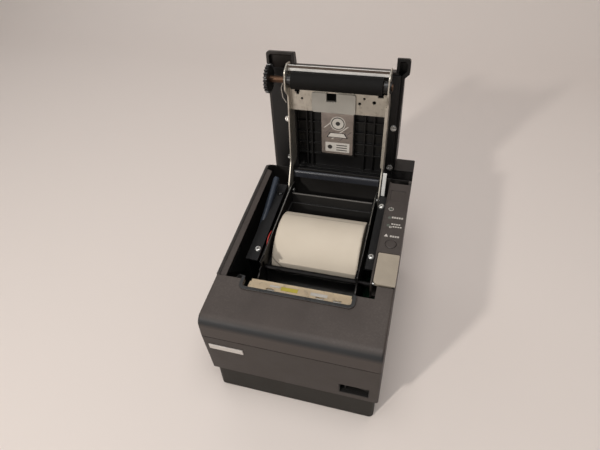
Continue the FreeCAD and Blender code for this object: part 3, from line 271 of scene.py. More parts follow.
def solid(name, corners, faces, material, body):
    """Mesh piece from corner points and faces, riding on a body."""
    mesh = bpy.data.meshes.new(name)
    mesh.from_pydata([tuple(c) for c in corners], [], faces)
    fix = bmesh.new()
    fix.from_mesh(mesh)
    bmesh.ops.recalc_face_normals(fix, faces=fix.faces)
    fix.to_mesh(mesh)
    fix.free()
    mesh.materials.append(material)
    piece = bpy.data.objects.new(name, mesh)
    scene.collection.objects.link(piece)
    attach(piece, body)
    return piece


def prism(name, one_end, other_end, material, body, slot_name):
    """Piece with two like ends, each a loop of corner points, and flat sides between them."""
    count = len(one_end)
    ends = [tuple(range(count)), tuple(range(count, 2 * count))]
    sides = [(i, (i + 1) % count, (i + 1) % count + count, i + count) for i in range(count)]
    solid(name, one_end + other_end, ends + sides, material, body)


def rectangle(across, along):
    """Corners of a rectangle from its (low, high) spans."""
    return [(across[0], along[0]), (across[1], along[0]), (across[1], along[1]), (across[0], along[1])]


def slope_block(name, across, along, levels, material, body, slot_name):
    """Block lying on the sloping top, from its spans in millimetres."""
    lower, upper = ([slope(x, y, n) for x, y in rectangle(across, along)] for n in levels)
    prism(name, lower, upper, material, body, slot_name)


# Painted shade: thin near-black crosses on three screw heads stand for the shade in their cross recesses.
recess_painted_shade = moulded("recess_painted_shade", (0.02, 0.02, 0.02), 0.5, depth=0.05)
recess_levels = (-15.6, -15.22)
recess_reach = 1.2
recess_half_width = 0.25
recessed_screws = ((-53.1, -10.0), (48.1, 1.0), (48.1, 62.0))


def either_side(middle, reach):
    """Span that goes as far below the middle as above it."""
    return (middle - reach, middle + reach)


for i, (x, y) in enumerate(recessed_screws):
    slope_block("screw_recess_%d_across" % i, either_side(x, recess_reach), either_side(y, recess_half_width),
                recess_levels, recess_painted_shade, "base", "bright_steel")
    slope_block("screw_recess_%d_along" % i, either_side(x, recess_half_width), either_side(y, recess_reach),
                recess_levels, recess_painted_shade, "base", "bright_steel")

# Print head: an extruded aluminium heat sink with a glazed ceramic heater line bonded along it.
# A leaf of spring steel behind the sink presses it up against the platen.

dress(metal("head_aluminium", (0.62, 0.62, 0.61), 0.4), "print_head_sink")
dress(moulded("head_ceramic", (0.62, 0.60, 0.54), 0.2, depth=0.02), "print_head_ceramic")
spring_steel = metal("spring_steel", (0.60, 0.59, 0.56), 0.25)
dress(spring_steel, "head_spring")

# Feed drive: a stepper motor in a drawn steel can, screwed to the frame's left plate.
# Its pinion turns a reduction gear; both are moulded in black acetal.

motor_can = metal("motor_can", (0.55, 0.54, 0.52), 0.38, brush=(2500, 90, 90), stain=0.1)
dress(motor_can, "feed_motor")
gear_acetal = moulded("gear_acetal", (0.013, 0.0125, 0.0125), 0.34, depth=0.04)
dress(gear_acetal, "feed_pinion", "reduction_gear")

# Cutter: a plated sheet frame with its own motor and gear, and a ground steel blade that slides on it.
# The tan passivated strip over the blade shows through the paper slot; its rear edge is folded to a flange,
# and pieces of thin adhesive tape are stuck on it.

dress(zinc, "cutter_frame")
dress(motor_can, "cutter_motor")
dress(gear_acetal, "cutter_gear")
blade_steel = metal("blade_steel", (0.88, 0.87, 0.84), 0.42, metallic=0.55)
dress(blade_steel, "moving_blade")
tan_steel = metal("tan_steel", (0.74, 0.60, 0.41), 0.46, stain=0.40, metallic=0.6)
dress(tan_steel, "cutter_guide")

guide_low, guide_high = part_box("cutter_guide")
guide_rear_y = guide_high[1]
guide_top_z = guide_high[2]


def plate(name, across, along, levels, material, body, slot_name):
    """Upright block from its spans in metres."""
    lower, upper = ([(x, y, z) for x, y in rectangle(across, along)] for z in levels)
    prism(name, lower, upper, material, body, slot_name)


guide_flange_inset = 0.001
guide_flange_depth = 0.0030
guide_flange_sheet = 0.0008
plate("guide_strip_flange", (guide_low[0] + guide_flange_inset, guide_high[0] - guide_flange_inset),
      (guide_rear_y, guide_rear_y + guide_flange_depth), (guide_top_z - guide_flange_sheet, guide_top_z),
      tan_steel, "base", "tan_steel")

tape_yellow = moulded("tape_yellow", (0.56, 0.46, 0.06), 0.45, depth=0.03)
tape_white = moulded("tape_white", (0.62, 0.58, 0.52), 0.5, depth=0.03)
tape_root = 0.00002
tape_thickness = 0.00008
tape_levels = (guide_top_z - tape_root, guide_top_z + tape_thickness)


def tape(name, across, forward, material):
    """Tape patch on the strip, in millimetres; forward is the span from the strip's rear edge."""
    along = (guide_rear_y - forward[1] / 1000, guide_rear_y - forward[0] / 1000)
    plate(name, (across[0] / 1000, across[1] / 1000), along, tape_levels, material, "base", "tan_steel")


tape("tape_patch_yellow", (-18.0, -3.8), (0.4, 4.4), tape_yellow)
tape("tape_patch_left", (-28.0, -19.5), (0.4, 2.4), tape_white)
tape("tape_patch_right", (7.0, 21.0), (0.6, 3.8), tape_white)

# Roll bay: a black drop-in tray for the roll, a rear panel behind it and two side panels on the frame.
# Moulded polystyrene, glossier than the case; the panels are held by the frame's dome screws.
# The low-paper sensor looks at the end of the roll from the frame's right plate.

bay_black = moulded("bay_black", (0.016, 0.0155, 0.0155), 0.40, depth=0.08, dust=0.05)
dress(bay_black, "roll_tray", "bay_rear_panel", "near_end_sensor")
side_panel_black = moulded("side_panel_black", (0.0085, 0.0085, 0.009), 0.42, depth=0.08, dust=0.02,
                           shine=0.35)
dress(side_panel_black, "left_side_panel", "right_side_panel")


def block(name, across, along, levels, material, body, slot_name):
    """Upright block from its spans in millimetres on the footprint."""
    lower, upper = ([on_plan(x, y, z) for x, y in rectangle(across, along)] for z in levels)
    prism(name, lower, upper, material, body, slot_name)


tray_across = (-43.0, 38.0)
tray_rear_along = (71.9, 73.1)
tray_rear_foot_z = 83.9
tray_rear_top_z = 100.4
tray_edge_top_z = 101.1
block("tray_rear_rail", tray_across, tray_rear_along, (tray_rear_foot_z, tray_rear_top_z), bay_black,
      "base", "black_plastic")
edge_grey = moulded("edge_grey", (0.15, 0.14, 0.13), 0.4, depth=0.05)
block("tray_rear_edge", tray_across, tray_rear_along, (tray_rear_top_z, tray_edge_top_z), edge_grey,
      "base", "black_plastic")

# Ribs of the bay: a smooth rounded rail down the left channel, and a like bar across the back by the hinge.
# Both are glossy black mouldings, coloured a lighter bluish black as painted sheen; a thin three-cornered
# black plate lies against the left wall in front of the rail.

round_steps = 8


def rail(name, start, end, size, material, body, slot_name):
    """Straight rib with a rounded top, in millimetres on the footprint; size is its width and its height."""
    a = on_plan(*start)
    b = on_plan(*end)
    run = (b - a).normalized()
    side = run.cross(Vector((0, 0, 1))).normalized()
    up = side.cross(run)
    radius = size[0] / 2000
    foot = -size[1] / 1000
    angles = [math.pi * i / round_steps for i in range(round_steps + 1)]
    section = [(math.cos(angle) * radius, math.sin(angle) * radius) for angle in angles]
    section += [(-radius, foot), (radius, foot)]
    one_end, other_end = ([p + side * u + up * v for u, v in section] for p in (a, b))
    prism(name, one_end, other_end, material, body, slot_name)


# Painted sheen: the rail's lighter bluish black stands for the cool reflection on its gloss.
rail_gloss_and_painted_sheen = moulded("rail_gloss_and_painted_sheen", (0.038, 0.046, 0.062), 0.20, depth=0.03, mottle=0.05)
rail_front = (-60.0, -2.0, 86.4)
rail_rear = (-60.0, 75.0, 115.2)
rail_size = (5.6, 5.0)
rail("left_rail", rail_front, rail_rear, rail_size, rail_gloss_and_painted_sheen, "base", "black_plastic")
# Painted sheen: the bar's lighter bluish black stands for the cool reflection on it.
bar_gloss_and_painted_sheen = moulded("bar_gloss_and_painted_sheen", (0.032, 0.034, 0.042), 0.30, depth=0.04, mottle=0.12)
bar_left = (-46.0, 92.4, 113.6)
bar_right = (41.0, 92.4, 113.6)
bar_size = (4.0, 5.0)
rail("hinge_bar", bar_left, bar_right, bar_size, bar_gloss_and_painted_sheen, "base", "black_plastic")

# A thin three-cornered black plate against the left wall's inner face, in front of the rail.
gusset_side = [(-10.7, 98.6), (-39.8, 93.8), (-9.0, 64.0)]
gusset_across = (-70.1, -68.6)
gusset_ends = [[on_plan(x, y, z) for y, z in gusset_side] for x in gusset_across]
prism("left_gusset", *gusset_ends, bay_black, "base", "black_plastic")

# Cover stop: a pale coated plate on the right side panel that the cover's arm comes to rest beside.
# Blanked from steel, bent slightly outwards, and fixed by the rear dome screw.

stop_coat = moulded("stop_plate_coat", (0.92, 0.91, 0.88), 0.35, depth=0.04)
stop_plan = rectangle((45.0, 48.4), (80.8, 82.0))
stop_foot_z = 105.0
stop_top_z = 131.5
stop_lean = 0.6
stop_foot = [on_plan(x, y, stop_foot_z) for x, y in stop_plan]
stop_top = [on_plan(x + stop_lean, y, stop_top_z) for x, y in stop_plan]
prism("cover_stop_plate", stop_foot, stop_top, stop_coat, "base", "bright_steel")

# Red lead: a thin insulated wire that comes up beside the roll and goes back down to the board.
# Stranded copper in soft PVC, slightly glossy, bent over the edge of the frame's left plate.

dress(moulded("red_pvc", (0.42, 0.035, 0.028), 0.32, depth=0.02), "red_lead")

# Main case: the charcoal ABS moulding that goes over the tub and the mechanism, screwed on from below.
# Outside it has a fine grain, with faint scuffs from handling and dust on what faces up.
# The inner face of the left wall is given a near-black tone with a shallower grain, as painted shade; the
# rear wall's inner face and the top of the corner beside the hinge are given the same tone.

case_colour = (0.064, 0.052, 0.046)
case_grain = {"depth": 0.16, "dust": 0.10, "scuff": 0.25, "shine": 0.3}
# The main case takes a darker copy of the case colour than the front cover: painted shade for its dim front
# face.
dress(moulded("charcoal_case", scaled(case_colour, 0.70), 0.50, **case_grain), "main_case")
dress(bright_screws, "case_screws")

# Near-black tone: painted shade on the left wall's inner face; it also goes on the rear wall's inner face and
# the hinge corner's top.
case_inside = moulded("case_inside", (0.017, 0.015, 0.0135), 0.5, depth=0.12)
left_wall_inner_x = (-0.0705, -0.0698)
rear_wall_thickness = 0.0030
rear_wall_inner_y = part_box("main_case")[1][1] - rear_wall_thickness
hinge_corner_x = 0.045
hinge_corner_y = 0.050


def is_inside_case(centre, normal):
    """True on the left wall's inner face, the rear wall's inner face and the top of the hinge corner."""
    left_wall = normal.x > 0.7 and left_wall_inner_x[0] < centre.x < left_wall_inner_x[1]
    rear_wall = normal.y < -0.5 and centre.y > rear_wall_inner_y
    hinge_corner = normal.z > 0.5 and centre.x > hinge_corner_x and centre.y > hinge_corner_y
    return left_wall or rear_wall or hinge_corner


repaint("main_case", case_inside, is_inside_case)

# Rim of the left wall: a fine groove in its top, where the roll cover's rim sits, and a sloping ledge inside.
# Both are moulded with the case; the groove is drawn as a thin near-black inlay in the wall's own top face,
# as painted shade in it.

groove_painted_shade = moulded("groove_painted_shade", (0.012, 0.011, 0.010), 0.7, depth=0.05)
rim_along = (-52.5, 78.0)
groove_across = (-71.25, -70.75)
groove_levels = (-0.4, 0.04)
slope_block("left_wall_groove", groove_across, rim_along, groove_levels, groove_painted_shade, "base", "black_plastic")
# The ledge takes a lighter copy of the case colour as painted light, for the lit band along the wall's inner
# top.
ledge_painted_light = moulded("ledge_painted_light", scaled(case_colour, 1.15), 0.5, depth=0.14, dust=0.1)
ledge_section = [(-70.2, -0.9), (-65.6, -3.4), (-65.6, -4.4), (-70.2, -4.4)]
ledge_ends = [[slope(x, y, n) for x, n in ledge_section] for y in rim_along]
prism("left_wall_ledge", *ledge_ends, ledge_painted_light, "base", "case_plastic")

# Power switch: a black moulded body behind a window in the front wall, with a two-sided rocker.
# The body snaps into the window, where a thin bezel frames it, and the rocker turns on stub pins.

switch_black = moulded("switch_black", (0.014, 0.013, 0.012), 0.45, depth=0.06)
dress(switch_black, "power_switch_body")
dress(moulded("rocker_black", (0.035, 0.031, 0.028), 0.35, depth=0.05), "power_rocker")

bezel_left, bezel_right = 40.25, 64.75
bezel_low, bezel_high = 35.5, 49.5
bezel_bar = 0.6
bezel_setback = 3.7
bezel_depth = 3.0
bezel_along = (front_y + bezel_setback, front_y + bezel_setback + bezel_depth)
bezel_width = (bezel_left, bezel_right)
bezel_height = (bezel_low + bezel_bar, bezel_high - bezel_bar)
bezel_bars = (("lower", bezel_width, (bezel_low, bezel_low + bezel_bar)),
              ("upper", bezel_width, (bezel_high - bezel_bar, bezel_high)),
              ("left", (bezel_left, bezel_left + bezel_bar), bezel_height),
              ("right", (bezel_right - bezel_bar, bezel_right), bezel_height))
for bar_name, across, levels in bezel_bars:
    block("switch_bezel_" + bar_name, across, bezel_along, levels, switch_black, "base", "black_plastic")

# Control strip: a satin panel clipped over the right-hand channel, with a round feed button in it.
# Lamps on the small board below shine through clear pins, and the pictograms are pad-printed in white.

panel_colour = (0.060, 0.050, 0.045)
panel_satin = moulded("panel_satin", panel_colour, 0.42, grain=2600, depth=0.05, dust=0.06, scuff=0.2,
                      shine=0.35)
dress(panel_satin, "control_panel")
dress(moulded("button_satin", scaled(panel_colour, 1.02), 0.36, grain=2600, depth=0.04), "feed_button")
dress(moulded("lamp_lens", (0.13, 0.14, 0.12), 0.18, depth=0.02), "status_lamps")
dress(board_green, "panel_board")

mark_ink = moulded("mark_ink", (0.58, 0.54, 0.49), 0.6, grain=3000, depth=0.05, mottle=0.22)
ink_levels = (-0.02, 0.03)
ring_steps = 20
dash_pitch = 2.05
dash_length = 1.55
dash_gap = 0.5


def mark(name, outline):
    """Flat printed mark on the panel from (x, y) points in millimetres."""
    lower, upper = ([slope(x, y, n) for x, y in outline] for n in ink_levels)
    prism(name, lower, upper, mark_ink, "base", "panel_plastic")


def ring_mark(name, x, y, outer, inner, start=0.0, turn=360.0):
    """Open or closed printed ring."""
    angles = [math.radians(start + turn * i / ring_steps) for i in range(ring_steps + 1)]
    loop = [(x + outer * math.cos(a), y + outer * math.sin(a)) for a in angles]
    loop += [(x + inner * math.cos(a), y + inner * math.sin(a)) for a in reversed(angles)]
    mark(name, loop)


def dashed_mark(name, x0, x1, y, height):
    """Row of plain printed dashes from x0 to about x1."""
    for i in range(int((x1 - x0 + dash_gap) / dash_pitch)):
        left = x0 + i * dash_pitch
        mark("%s_%d" % (name, i), rectangle((left, left + dash_length), either_side(y, height / 2)))


lamp_x = 58.5
ring_mark("mark_power_ring", lamp_x, 44.8, 2.25, 1.75, 115, 310)
mark("mark_power_stroke", rectangle(either_side(lamp_x, 0.25), (45.6, 47.3)))
dashed_mark("mark_fault", 60.4, 70.8, 35.0, 2.0)
dashed_mark("mark_paper_upper", 61.0, 70.6, 27.3, 1.5)
dashed_mark("mark_paper_lower", 62.4, 70.6, 24.4, 1.5)
ring_mark("mark_paper_roll", 60.6, 23.6, 1.2, 0.55)
dashed_mark("mark_feed", 61.6, 70.2, 13.4, 1.9)
mark("mark_feed_arrow", [(56.5, 12.4), (60.1, 12.4), (58.3, 15.6)])

# Cover-open lever: a light grey moulded key at the front end of the control strip.
# It turns on a plated steel pin, and pressing it turns the lock shaft.

lever_grey = moulded("lever_grey", (0.375, 0.32, 0.25), 0.46, depth=0.08, dust=0.08, scuff=0.3)
dress(lever_grey, "cover_open_lever")
dress(bright_screws, "lever_pin")

# Front cover: the charcoal hood over the cutter, with the paper slot in it, which pulls forward off the case.
# The same ABS and grain as the case, in a lighter copy of its colour as painted light; a darker, cooler band
# on its rounded front edge is painted shade and painted reflection.
# A near-black strip fills the seam where it meets the case's front wall, as painted shade in the gap.

# A lighter copy of the case colour than the main case: painted light for the bright top of the front cover.
front_plastic = moulded("charcoal_front", scaled(case_colour, 1.04), 0.50, **case_grain)
dress(front_plastic, "front_cover")

# Painted shade and cool painted reflection: a darker, cooler band on the rounded front edge, where the
# surface turns from front to top.
painted_edge_shade_colour = (0.022, 0.024, 0.026, 1)
painted_edge_shade_share = 0.9
front_tree = front_plastic.node_tree
front_shade = front_tree.nodes["Principled BSDF"]
grained_tone = front_shade.inputs["Base Color"].links[0].from_socket
front_upward = facing(front_tree, "Z")
below_top = span(front_tree, front_upward, 0.62, 0.92, 1, 0)
above_front = span(front_tree, front_upward, -0.05, 0.40)
towards_front = span(front_tree, facing(front_tree, "Y"), -0.5, -0.2, 1, 0)
on_rounded_edge = times(front_tree, times(front_tree, above_front, below_top), towards_front)
painted_edge_shade_tone = blend(front_tree, times(front_tree, on_rounded_edge, painted_edge_shade_share), grained_tone, painted_edge_shade_colour)
front_tree.links.new(painted_edge_shade_tone, front_shade.inputs["Base Color"])

# Painted shade: a near-black strip, flush with the front, that fills the gap of the seam.
seam_shadow = moulded("seam_shadow", (0.003, 0.0027, 0.0025), 0.8, depth=0.05, shine=0.1)
seam_across = (-71.0, 71.0)
seam_along = (-97.4, -95.6)
seam_levels = (79.72, 80.28)
block("front_seam_dark", seam_across, seam_along, seam_levels, seam_shadow, "base", "black_plastic")

# Lip round the paper slot: a raised edge on three sides of the opening that the paper is torn against.
# It is part of the front cover's moulding, polished in the tool, so it is smoother; it is given a darker,
# cooler grey than the cover.

slot_left, slot_right = -50.0, 45.0
slot_front, slot_rear = -64.0, -51.6
slot_corner_radius = 5.0
slot_corner_steps = 6
lip_insets = (0.25, 2.75)
lip_levels = (1.25, 1.48)


def lip_path(inset):
    """Half-loop of (x, y) points round the slot, from the left rear end to the right rear end."""
    left, right, front = slot_left + inset, slot_right - inset, slot_front + inset
    radius = slot_corner_radius - inset
    points = [(left, slot_rear)]
    for x, start in ((left + radius, 180), (right - radius, 270)):
        for i in range(slot_corner_steps + 1):
            angle = math.radians(start + 90 * i / slot_corner_steps)
            points.append((x + radius * math.cos(angle), front + radius + radius * math.sin(angle)))
    return points + [(right, slot_rear)]


lip_gloss = moulded("lip_gloss", (0.038, 0.0385, 0.0385), 0.30, depth=0.06, mottle=0.06)
lip_outer, lip_inner = (lip_path(inset) for inset in lip_insets)
lip_count = len(lip_outer)
lip_corners = [slope(x, y, n) for n in lip_levels for x, y in lip_outer + lip_inner]
lip_faces = []
for i in range(lip_count - 1):
    for first in (0, 2 * lip_count):
        k = first + i
        lip_faces.append((k, k + 1, k + 1 + lip_count, k + lip_count))
    for first in (0, lip_count):
        k = first + i
        lip_faces.append((k, k + 1, k + 1 + 2 * lip_count, k + 2 * lip_count))
for i in (0, lip_count - 1):
    lip_faces.append((i, i + lip_count, i + 3 * lip_count, i + 2 * lip_count))
solid("slot_lip_trim", lip_corners, lip_faces, lip_gloss, "front_cover")

# Badge: a thin plain plate on the front wall, blanked from aluminium and painted a pale satin.
# It is stuck in a shallow place moulded for it.

dress(moulded("badge_satin", (0.60, 0.56, 0.52), 0.40, grain=2600, depth=0.03, mottle=0.06), "badge_plate")

# Roll cover: the outer shell of the lid, moulded in the case's charcoal ABS, with an ear at each front
# corner. Its right-hand inside is given a near-black tone, and the ribbed liner screwed into it is black.

charcoal_cover = moulded("charcoal_cover", scaled(case_colour, 0.36), 0.46, depth=0.16, dust=0.05, scuff=0.2)
dress(charcoal_cover, "cover_shell")
# Near-black tone on the right-hand part of the shell's inside.
cover_inside = moulded("cover_inside", (0.006, 0.0057, 0.0055), 0.5, depth=0.12, shine=0.3)
cover_right_x = 0.0455
wing_top_z = 0.165


def is_inside_cover(centre, normal):
    """True on the right-hand part of the shell, apart from its outer side and its back."""
    rear_limit = 0.9 if centre.z < wing_top_z else 0.5
    return centre.x > cover_right_x and normal.x < 0.7 and normal.y < rear_limit


repaint("cover_shell", cover_inside, is_inside_cover)
liner_black = moulded("liner_black", (0.0105, 0.0100, 0.0100), 0.42, depth=0.08, dust=0.02, shine=0.35)
dress(liner_black, "cover_liner")
dress(bright_screws, "cover_screws")

# Cover frame: folded zinc-plated sheet gone slightly tan, with two arms that swing on the hinge pins.
# The right arm has a narrow flange. A notched light grey bracket is fixed to the cross plate, and a bent
# wire spring on the left arm earths the platen's shaft.

cover_zinc = metal("cover_frame_zinc", (0.58, 0.54, 0.47), 0.36, brush=(2500, 70, 70), stain=0.30,
                   metallic=0.7)
dress(cover_zinc, "cover_frame")
dress(moulded("bracket_grey", (0.41, 0.39, 0.35), 0.42, depth=0.06), "cover_bracket")
dress(spring_steel, "ground_spring")

arm_sheet = 0.0012
arm_flange_width = 0.00135
arm_flange_depth = 0.0008
arm_flange_foot = (0.0696, 0.1310)
arm_flange_top = (0.0731, 0.1930)
arm_flange_side = [arm_flange_foot, arm_flange_top,
                   (arm_flange_top[0] + arm_flange_depth, arm_flange_top[1]),
                   (arm_flange_foot[0] + arm_flange_depth, arm_flange_foot[1])]
arm_flange_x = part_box("cover_frame")[1][0] - arm_sheet - arm_flange_width
arm_flange_ends = [[(x, y, z) for y, z in arm_flange_side]
                   for x in (arm_flange_x, arm_flange_x + arm_flange_width)]
prism("arm_right_flange", *arm_flange_ends, cover_zinc, "cover", "zinc_sheet")

# Loading label: a silver film stuck on the liner, printed in white, grey and near black.
# Its drawing is a plain roll, a sheet and a panel of lines.

dress(metal("label_film", (0.50, 0.44, 0.41), 0.46, mottle=0.16), "cover_label")
label_low, label_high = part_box("cover_label")
label_width = label_high[0] - label_low[0]
label_height = label_high[2] - label_low[2]
label_white = moulded("label_white", (0.74, 0.70, 0.64), 0.5, depth=0.02)
label_dark = moulded("label_dark", (0.045, 0.040, 0.038), 0.5, depth=0.02)
label_mid = moulded("label_mid", (0.24, 0.20, 0.19), 0.45, depth=0.02)
ink_root = 0.00002
stroke_ink = 0.00004
first_ink, second_ink, third_ink, fourth_ink = 0.00006, 0.00010, 0.00014, 0.00018
disc_steps = 28


def label_print(name, outline, material, lift):
    """Printed shape on the label from (u, v) points, both from 0 to 1, with v upwards."""
    root, front = ([(label_low[0] + u * label_width, y, label_low[2] + v * label_height) for u, v in outline]
                   for y in (label_low[1] + ink_root, label_low[1] - lift))
    prism(name, root, front, material, "cover", "label_film")


def label_disc(name, u, v, radius, material, lift):
    """Round printed shape; the radius is a share of the label's width."""
    tall = label_width / label_height
    angles = [2 * math.pi * i / disc_steps for i in range(disc_steps)]
    loop = [(u + radius * math.cos(a), v + radius * tall * math.sin(a)) for a in angles]
    label_print(name, loop, material, lift)


label_print("label_panel", rectangle((0.12, 0.90), (0.05, 0.28)), label_white, first_ink)
label_disc("label_panel_disc", 0.27, 0.165, 0.075, label_dark, second_ink)
for i, v in enumerate((0.22, 0.16, 0.10)):
    line = rectangle((0.48, 0.82), either_side(v, 0.011))
    label_print("label_panel_line_%d" % i, line, label_dark, second_ink)

stroke_width = 0.05
stroke_rise = 0.62
label_strokes = ((0.06, 0.62, 0.30), (0.10, 0.50, 0.44), (0.30, 0.36, 0.52), (0.56, 0.34, 0.36))
for i, (u, v, reach) in enumerate(label_strokes):
    top = v + reach * stroke_rise
    stroke = [(u, v), (u + stroke_width, v), (u + stroke_width + reach, top), (u + reach, top)]
    label_print("label_stroke_%d" % i, stroke, label_mid if i % 2 else label_white, stroke_ink)

label_roll = (0.52, 0.74)
label_disc("label_roll_outer", *label_roll, 0.24, label_white, first_ink)
label_disc("label_roll_middle", *label_roll, 0.21, label_dark, second_ink)
label_disc("label_roll_face", *label_roll, 0.18, label_white, third_ink)
label_disc("label_roll_core", *label_roll, 0.07, label_dark, fourth_ink)
label_sheet = [(0.16, 0.40), (0.84, 0.40), (0.74, 0.52), (0.26, 0.52)]
label_sheet_face = [(0.20, 0.415), (0.80, 0.415), (0.71, 0.505), (0.29, 0.505)]
label_print("label_sheet", label_sheet, label_dark, first_ink)
label_print("label_sheet_face", label_sheet_face, label_white, second_ink)

# Fixed blade: a ground steel strip across the front of the cover, which the moving blade cuts against.
# A darker backing strip lies along its upper edge.

dress(blade_steel, "fixed_blade")
backing_tan = metal("backing_tan", (0.16, 0.13, 0.11), 0.5, stain=0.2)
blade_low, blade_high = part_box("fixed_blade")
backing_inset = 0.0002
backing_proud, backing_root = 0.00015, 0.0001
backing_top_gap, backing_foot_gap = 0.0001, 0.0022
backing_across = (blade_low[0] + backing_inset, blade_high[0] - backing_inset)
backing_along = (blade_low[1] - backing_proud, blade_low[1] + backing_root)
backing_levels = (blade_high[2] - backing_foot_gap, blade_high[2] - backing_top_gap)
plate("blade_backing", backing_across, backing_along, backing_levels, backing_tan, "cover", "tan_steel")

# Platen: a ground rubber roller on a passivated steel shaft that snaps down over the print head.
# The rubber is dull and even, and the shaft's chromate gives it an orange tone.
# Its gear and its two bushes are black acetal, pushed on to the shaft.

platen_rubber = moulded("platen_rubber", (0.006, 0.0055, 0.005), 0.75, grain=2600, depth=0.12, mottle=0.2,
                        shine=0.2)
dress(platen_rubber, "platen_rubber")
dress(metal("shaft_chromate", (0.105, 0.060, 0.038), 0.48, brush=(90, 2500, 2500)), "platen_shaft")
dress(gear_acetal, "platen_gear", "platen_bushes")

# Paper roll: thermal paper wound on a board core, dropped loose into the tray.
# The paper is smooth and matt, and its wound edges show as fine rings on the ends of the roll.

dress(moulded("core_board", (0.36, 0.27, 0.18), 0.8, grain=1800, depth=0.2), "roll_core")
roll_low, roll_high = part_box("paper_roll")
roll_axis = (Vector(roll_low) + Vector(roll_high)) / 2
ring_pitch = 0.0006
ring_depth = 0.5
ring_colour = (0.50, 0.42, 0.32, 1)
paper_dark = (0.64, 0.555, 0.445)
paper_light = (0.70, 0.615, 0.50)

paper, paper_tree, paper_shade, paper_place = new_finish("thermal_paper")


def vector_node(operation, first, second=(0, 0, 0)):
    """Vector arithmetic in the paper's material."""
    return add_node(paper_tree, "ShaderNodeVectorMath", {0: first, 1: second}, operation=operation)


from_axis = vector_node("SUBTRACT", paper_place, tuple(roll_axis)).outputs[0]
around_axis = vector_node("MULTIPLY", from_axis, (0, 1, 1)).outputs[0]
radius_here = vector_node("LENGTH", around_axis).outputs["Value"]
turns = times(paper_tree, radius_here, 2 * math.pi / ring_pitch)
rings = add_node(paper_tree, "ShaderNodeMath", {0: turns}, operation="SINE").outputs[0]
across_roll = facing(paper_tree, "X")
sideways = add_node(paper_tree, "ShaderNodeMath", {0: across_roll}, operation="ABSOLUTE").outputs[0]
on_ends = span(paper_tree, sideways, 0.6, 0.9)
on_rings = times(paper_tree, on_ends, span(paper_tree, rings, -1, 1, 0, ring_depth))
wave = noise(paper_tree, paper_place, scale=24, detail=3)
paper_tone = two_tones(paper_tree, wave, (0.3, paper_dark), (0.7, paper_light))
paper_tone = blend(paper_tree, on_rings, paper_tone, ring_colour)
paper_tree.links.new(paper_tone, paper_shade.inputs["Base Color"])
paper_shade.inputs["Roughness"].default_value = 0.62
paper_shade.inputs["Specular IOR Level"].default_value = 0.3
fibre = noise(paper_tree, paper_place, scale=2400, detail=4)
fibre_bump = add_node(paper_tree, "ShaderNodeBump", {"Height": fibre, "Strength": 0.05, "Distance": 0.0002})
paper_tree.links.new(fibre_bump.outputs["Normal"], paper_shade.inputs["Normal"])
dress(paper, "paper_roll")

# Loose end of the paper: the last turn of the same thermal paper, lying over the roll and down its front.
# Its front edge is torn, with the left corner gone and a small notch, and it curls up very slightly.

tail_clearance = 0.00004
tail_side_gap = 0.0002
tail_thickness = 0.00010
tail_radius = (roll_high[2] - roll_low[2]) / 2 + tail_clearance
tail_steps = 40
tail_columns = 44
tail_start = math.radians(70)
tail_end = math.radians(172)
tail_width = roll_high[0] - roll_low[0] - 2 * tail_side_gap
torn_corner_width = 0.30
torn_corner_turn = math.radians(20)
notch_middle = 0.37
notch_half_width = 0.035
notch_turn = math.radians(4.5)
curl_start = 0.82
curl_lift = 0.00008


def tail_reach(u):
    """Angle at which the loose end stops, across the width u from 0 at the left to 1 at the right."""
    corner = max(0.0, 1 - u / torn_corner_width)
    notch = max(0.0, 1 - abs(u - notch_middle) / notch_half_width)
    return tail_end - torn_corner_turn * corner ** 2 - notch_turn * notch


tail_corners = []
for layer in (0, 1):
    for i in range(tail_columns + 1):
        u = i / tail_columns
        x = roll_axis.x - tail_width / 2 + tail_width * u
        for j in range(tail_steps + 1):
            along = j / tail_steps
            angle = tail_start + (tail_reach(u) - tail_start) * along
            curl = max(0.0, along - curl_start) / (1 - curl_start)
            radius = tail_radius + curl_lift * curl ** 2 + tail_thickness * layer
            y = roll_axis.y + radius * math.cos(angle)
            tail_corners.append((x, y, roll_axis.z + radius * math.sin(angle)))
row = tail_steps + 1
sheet_size = (tail_columns + 1) * row
tail_faces = []
for layer in (0, 1):
    for i in range(tail_columns):
        for j in range(tail_steps):
            k = layer * sheet_size + i * row + j
            tail_faces.append((k, k + 1, k + row + 1, k + row))
rim = [i * row for i in range(tail_columns + 1)]
rim += [tail_columns * row + j for j in range(1, row)]
rim += [i * row + tail_steps for i in range(tail_columns - 1, -1, -1)]
rim += list(range(tail_steps - 1, 0, -1))
for a, b in zip(rim, rim[1:] + rim[:1]):
    tail_faces.append((a, b, b + sheet_size, a + sheet_size))
tail = solid("paper_tail", tail_corners, tail_faces, paper, "roll")
for face in tail.data.polygons:
    face.use_smooth = True

# Stage: one pale seamless sheet of paper that runs under the printer and curves up behind it.
# It only stands for the table and the wall, and is no piece of the printer.

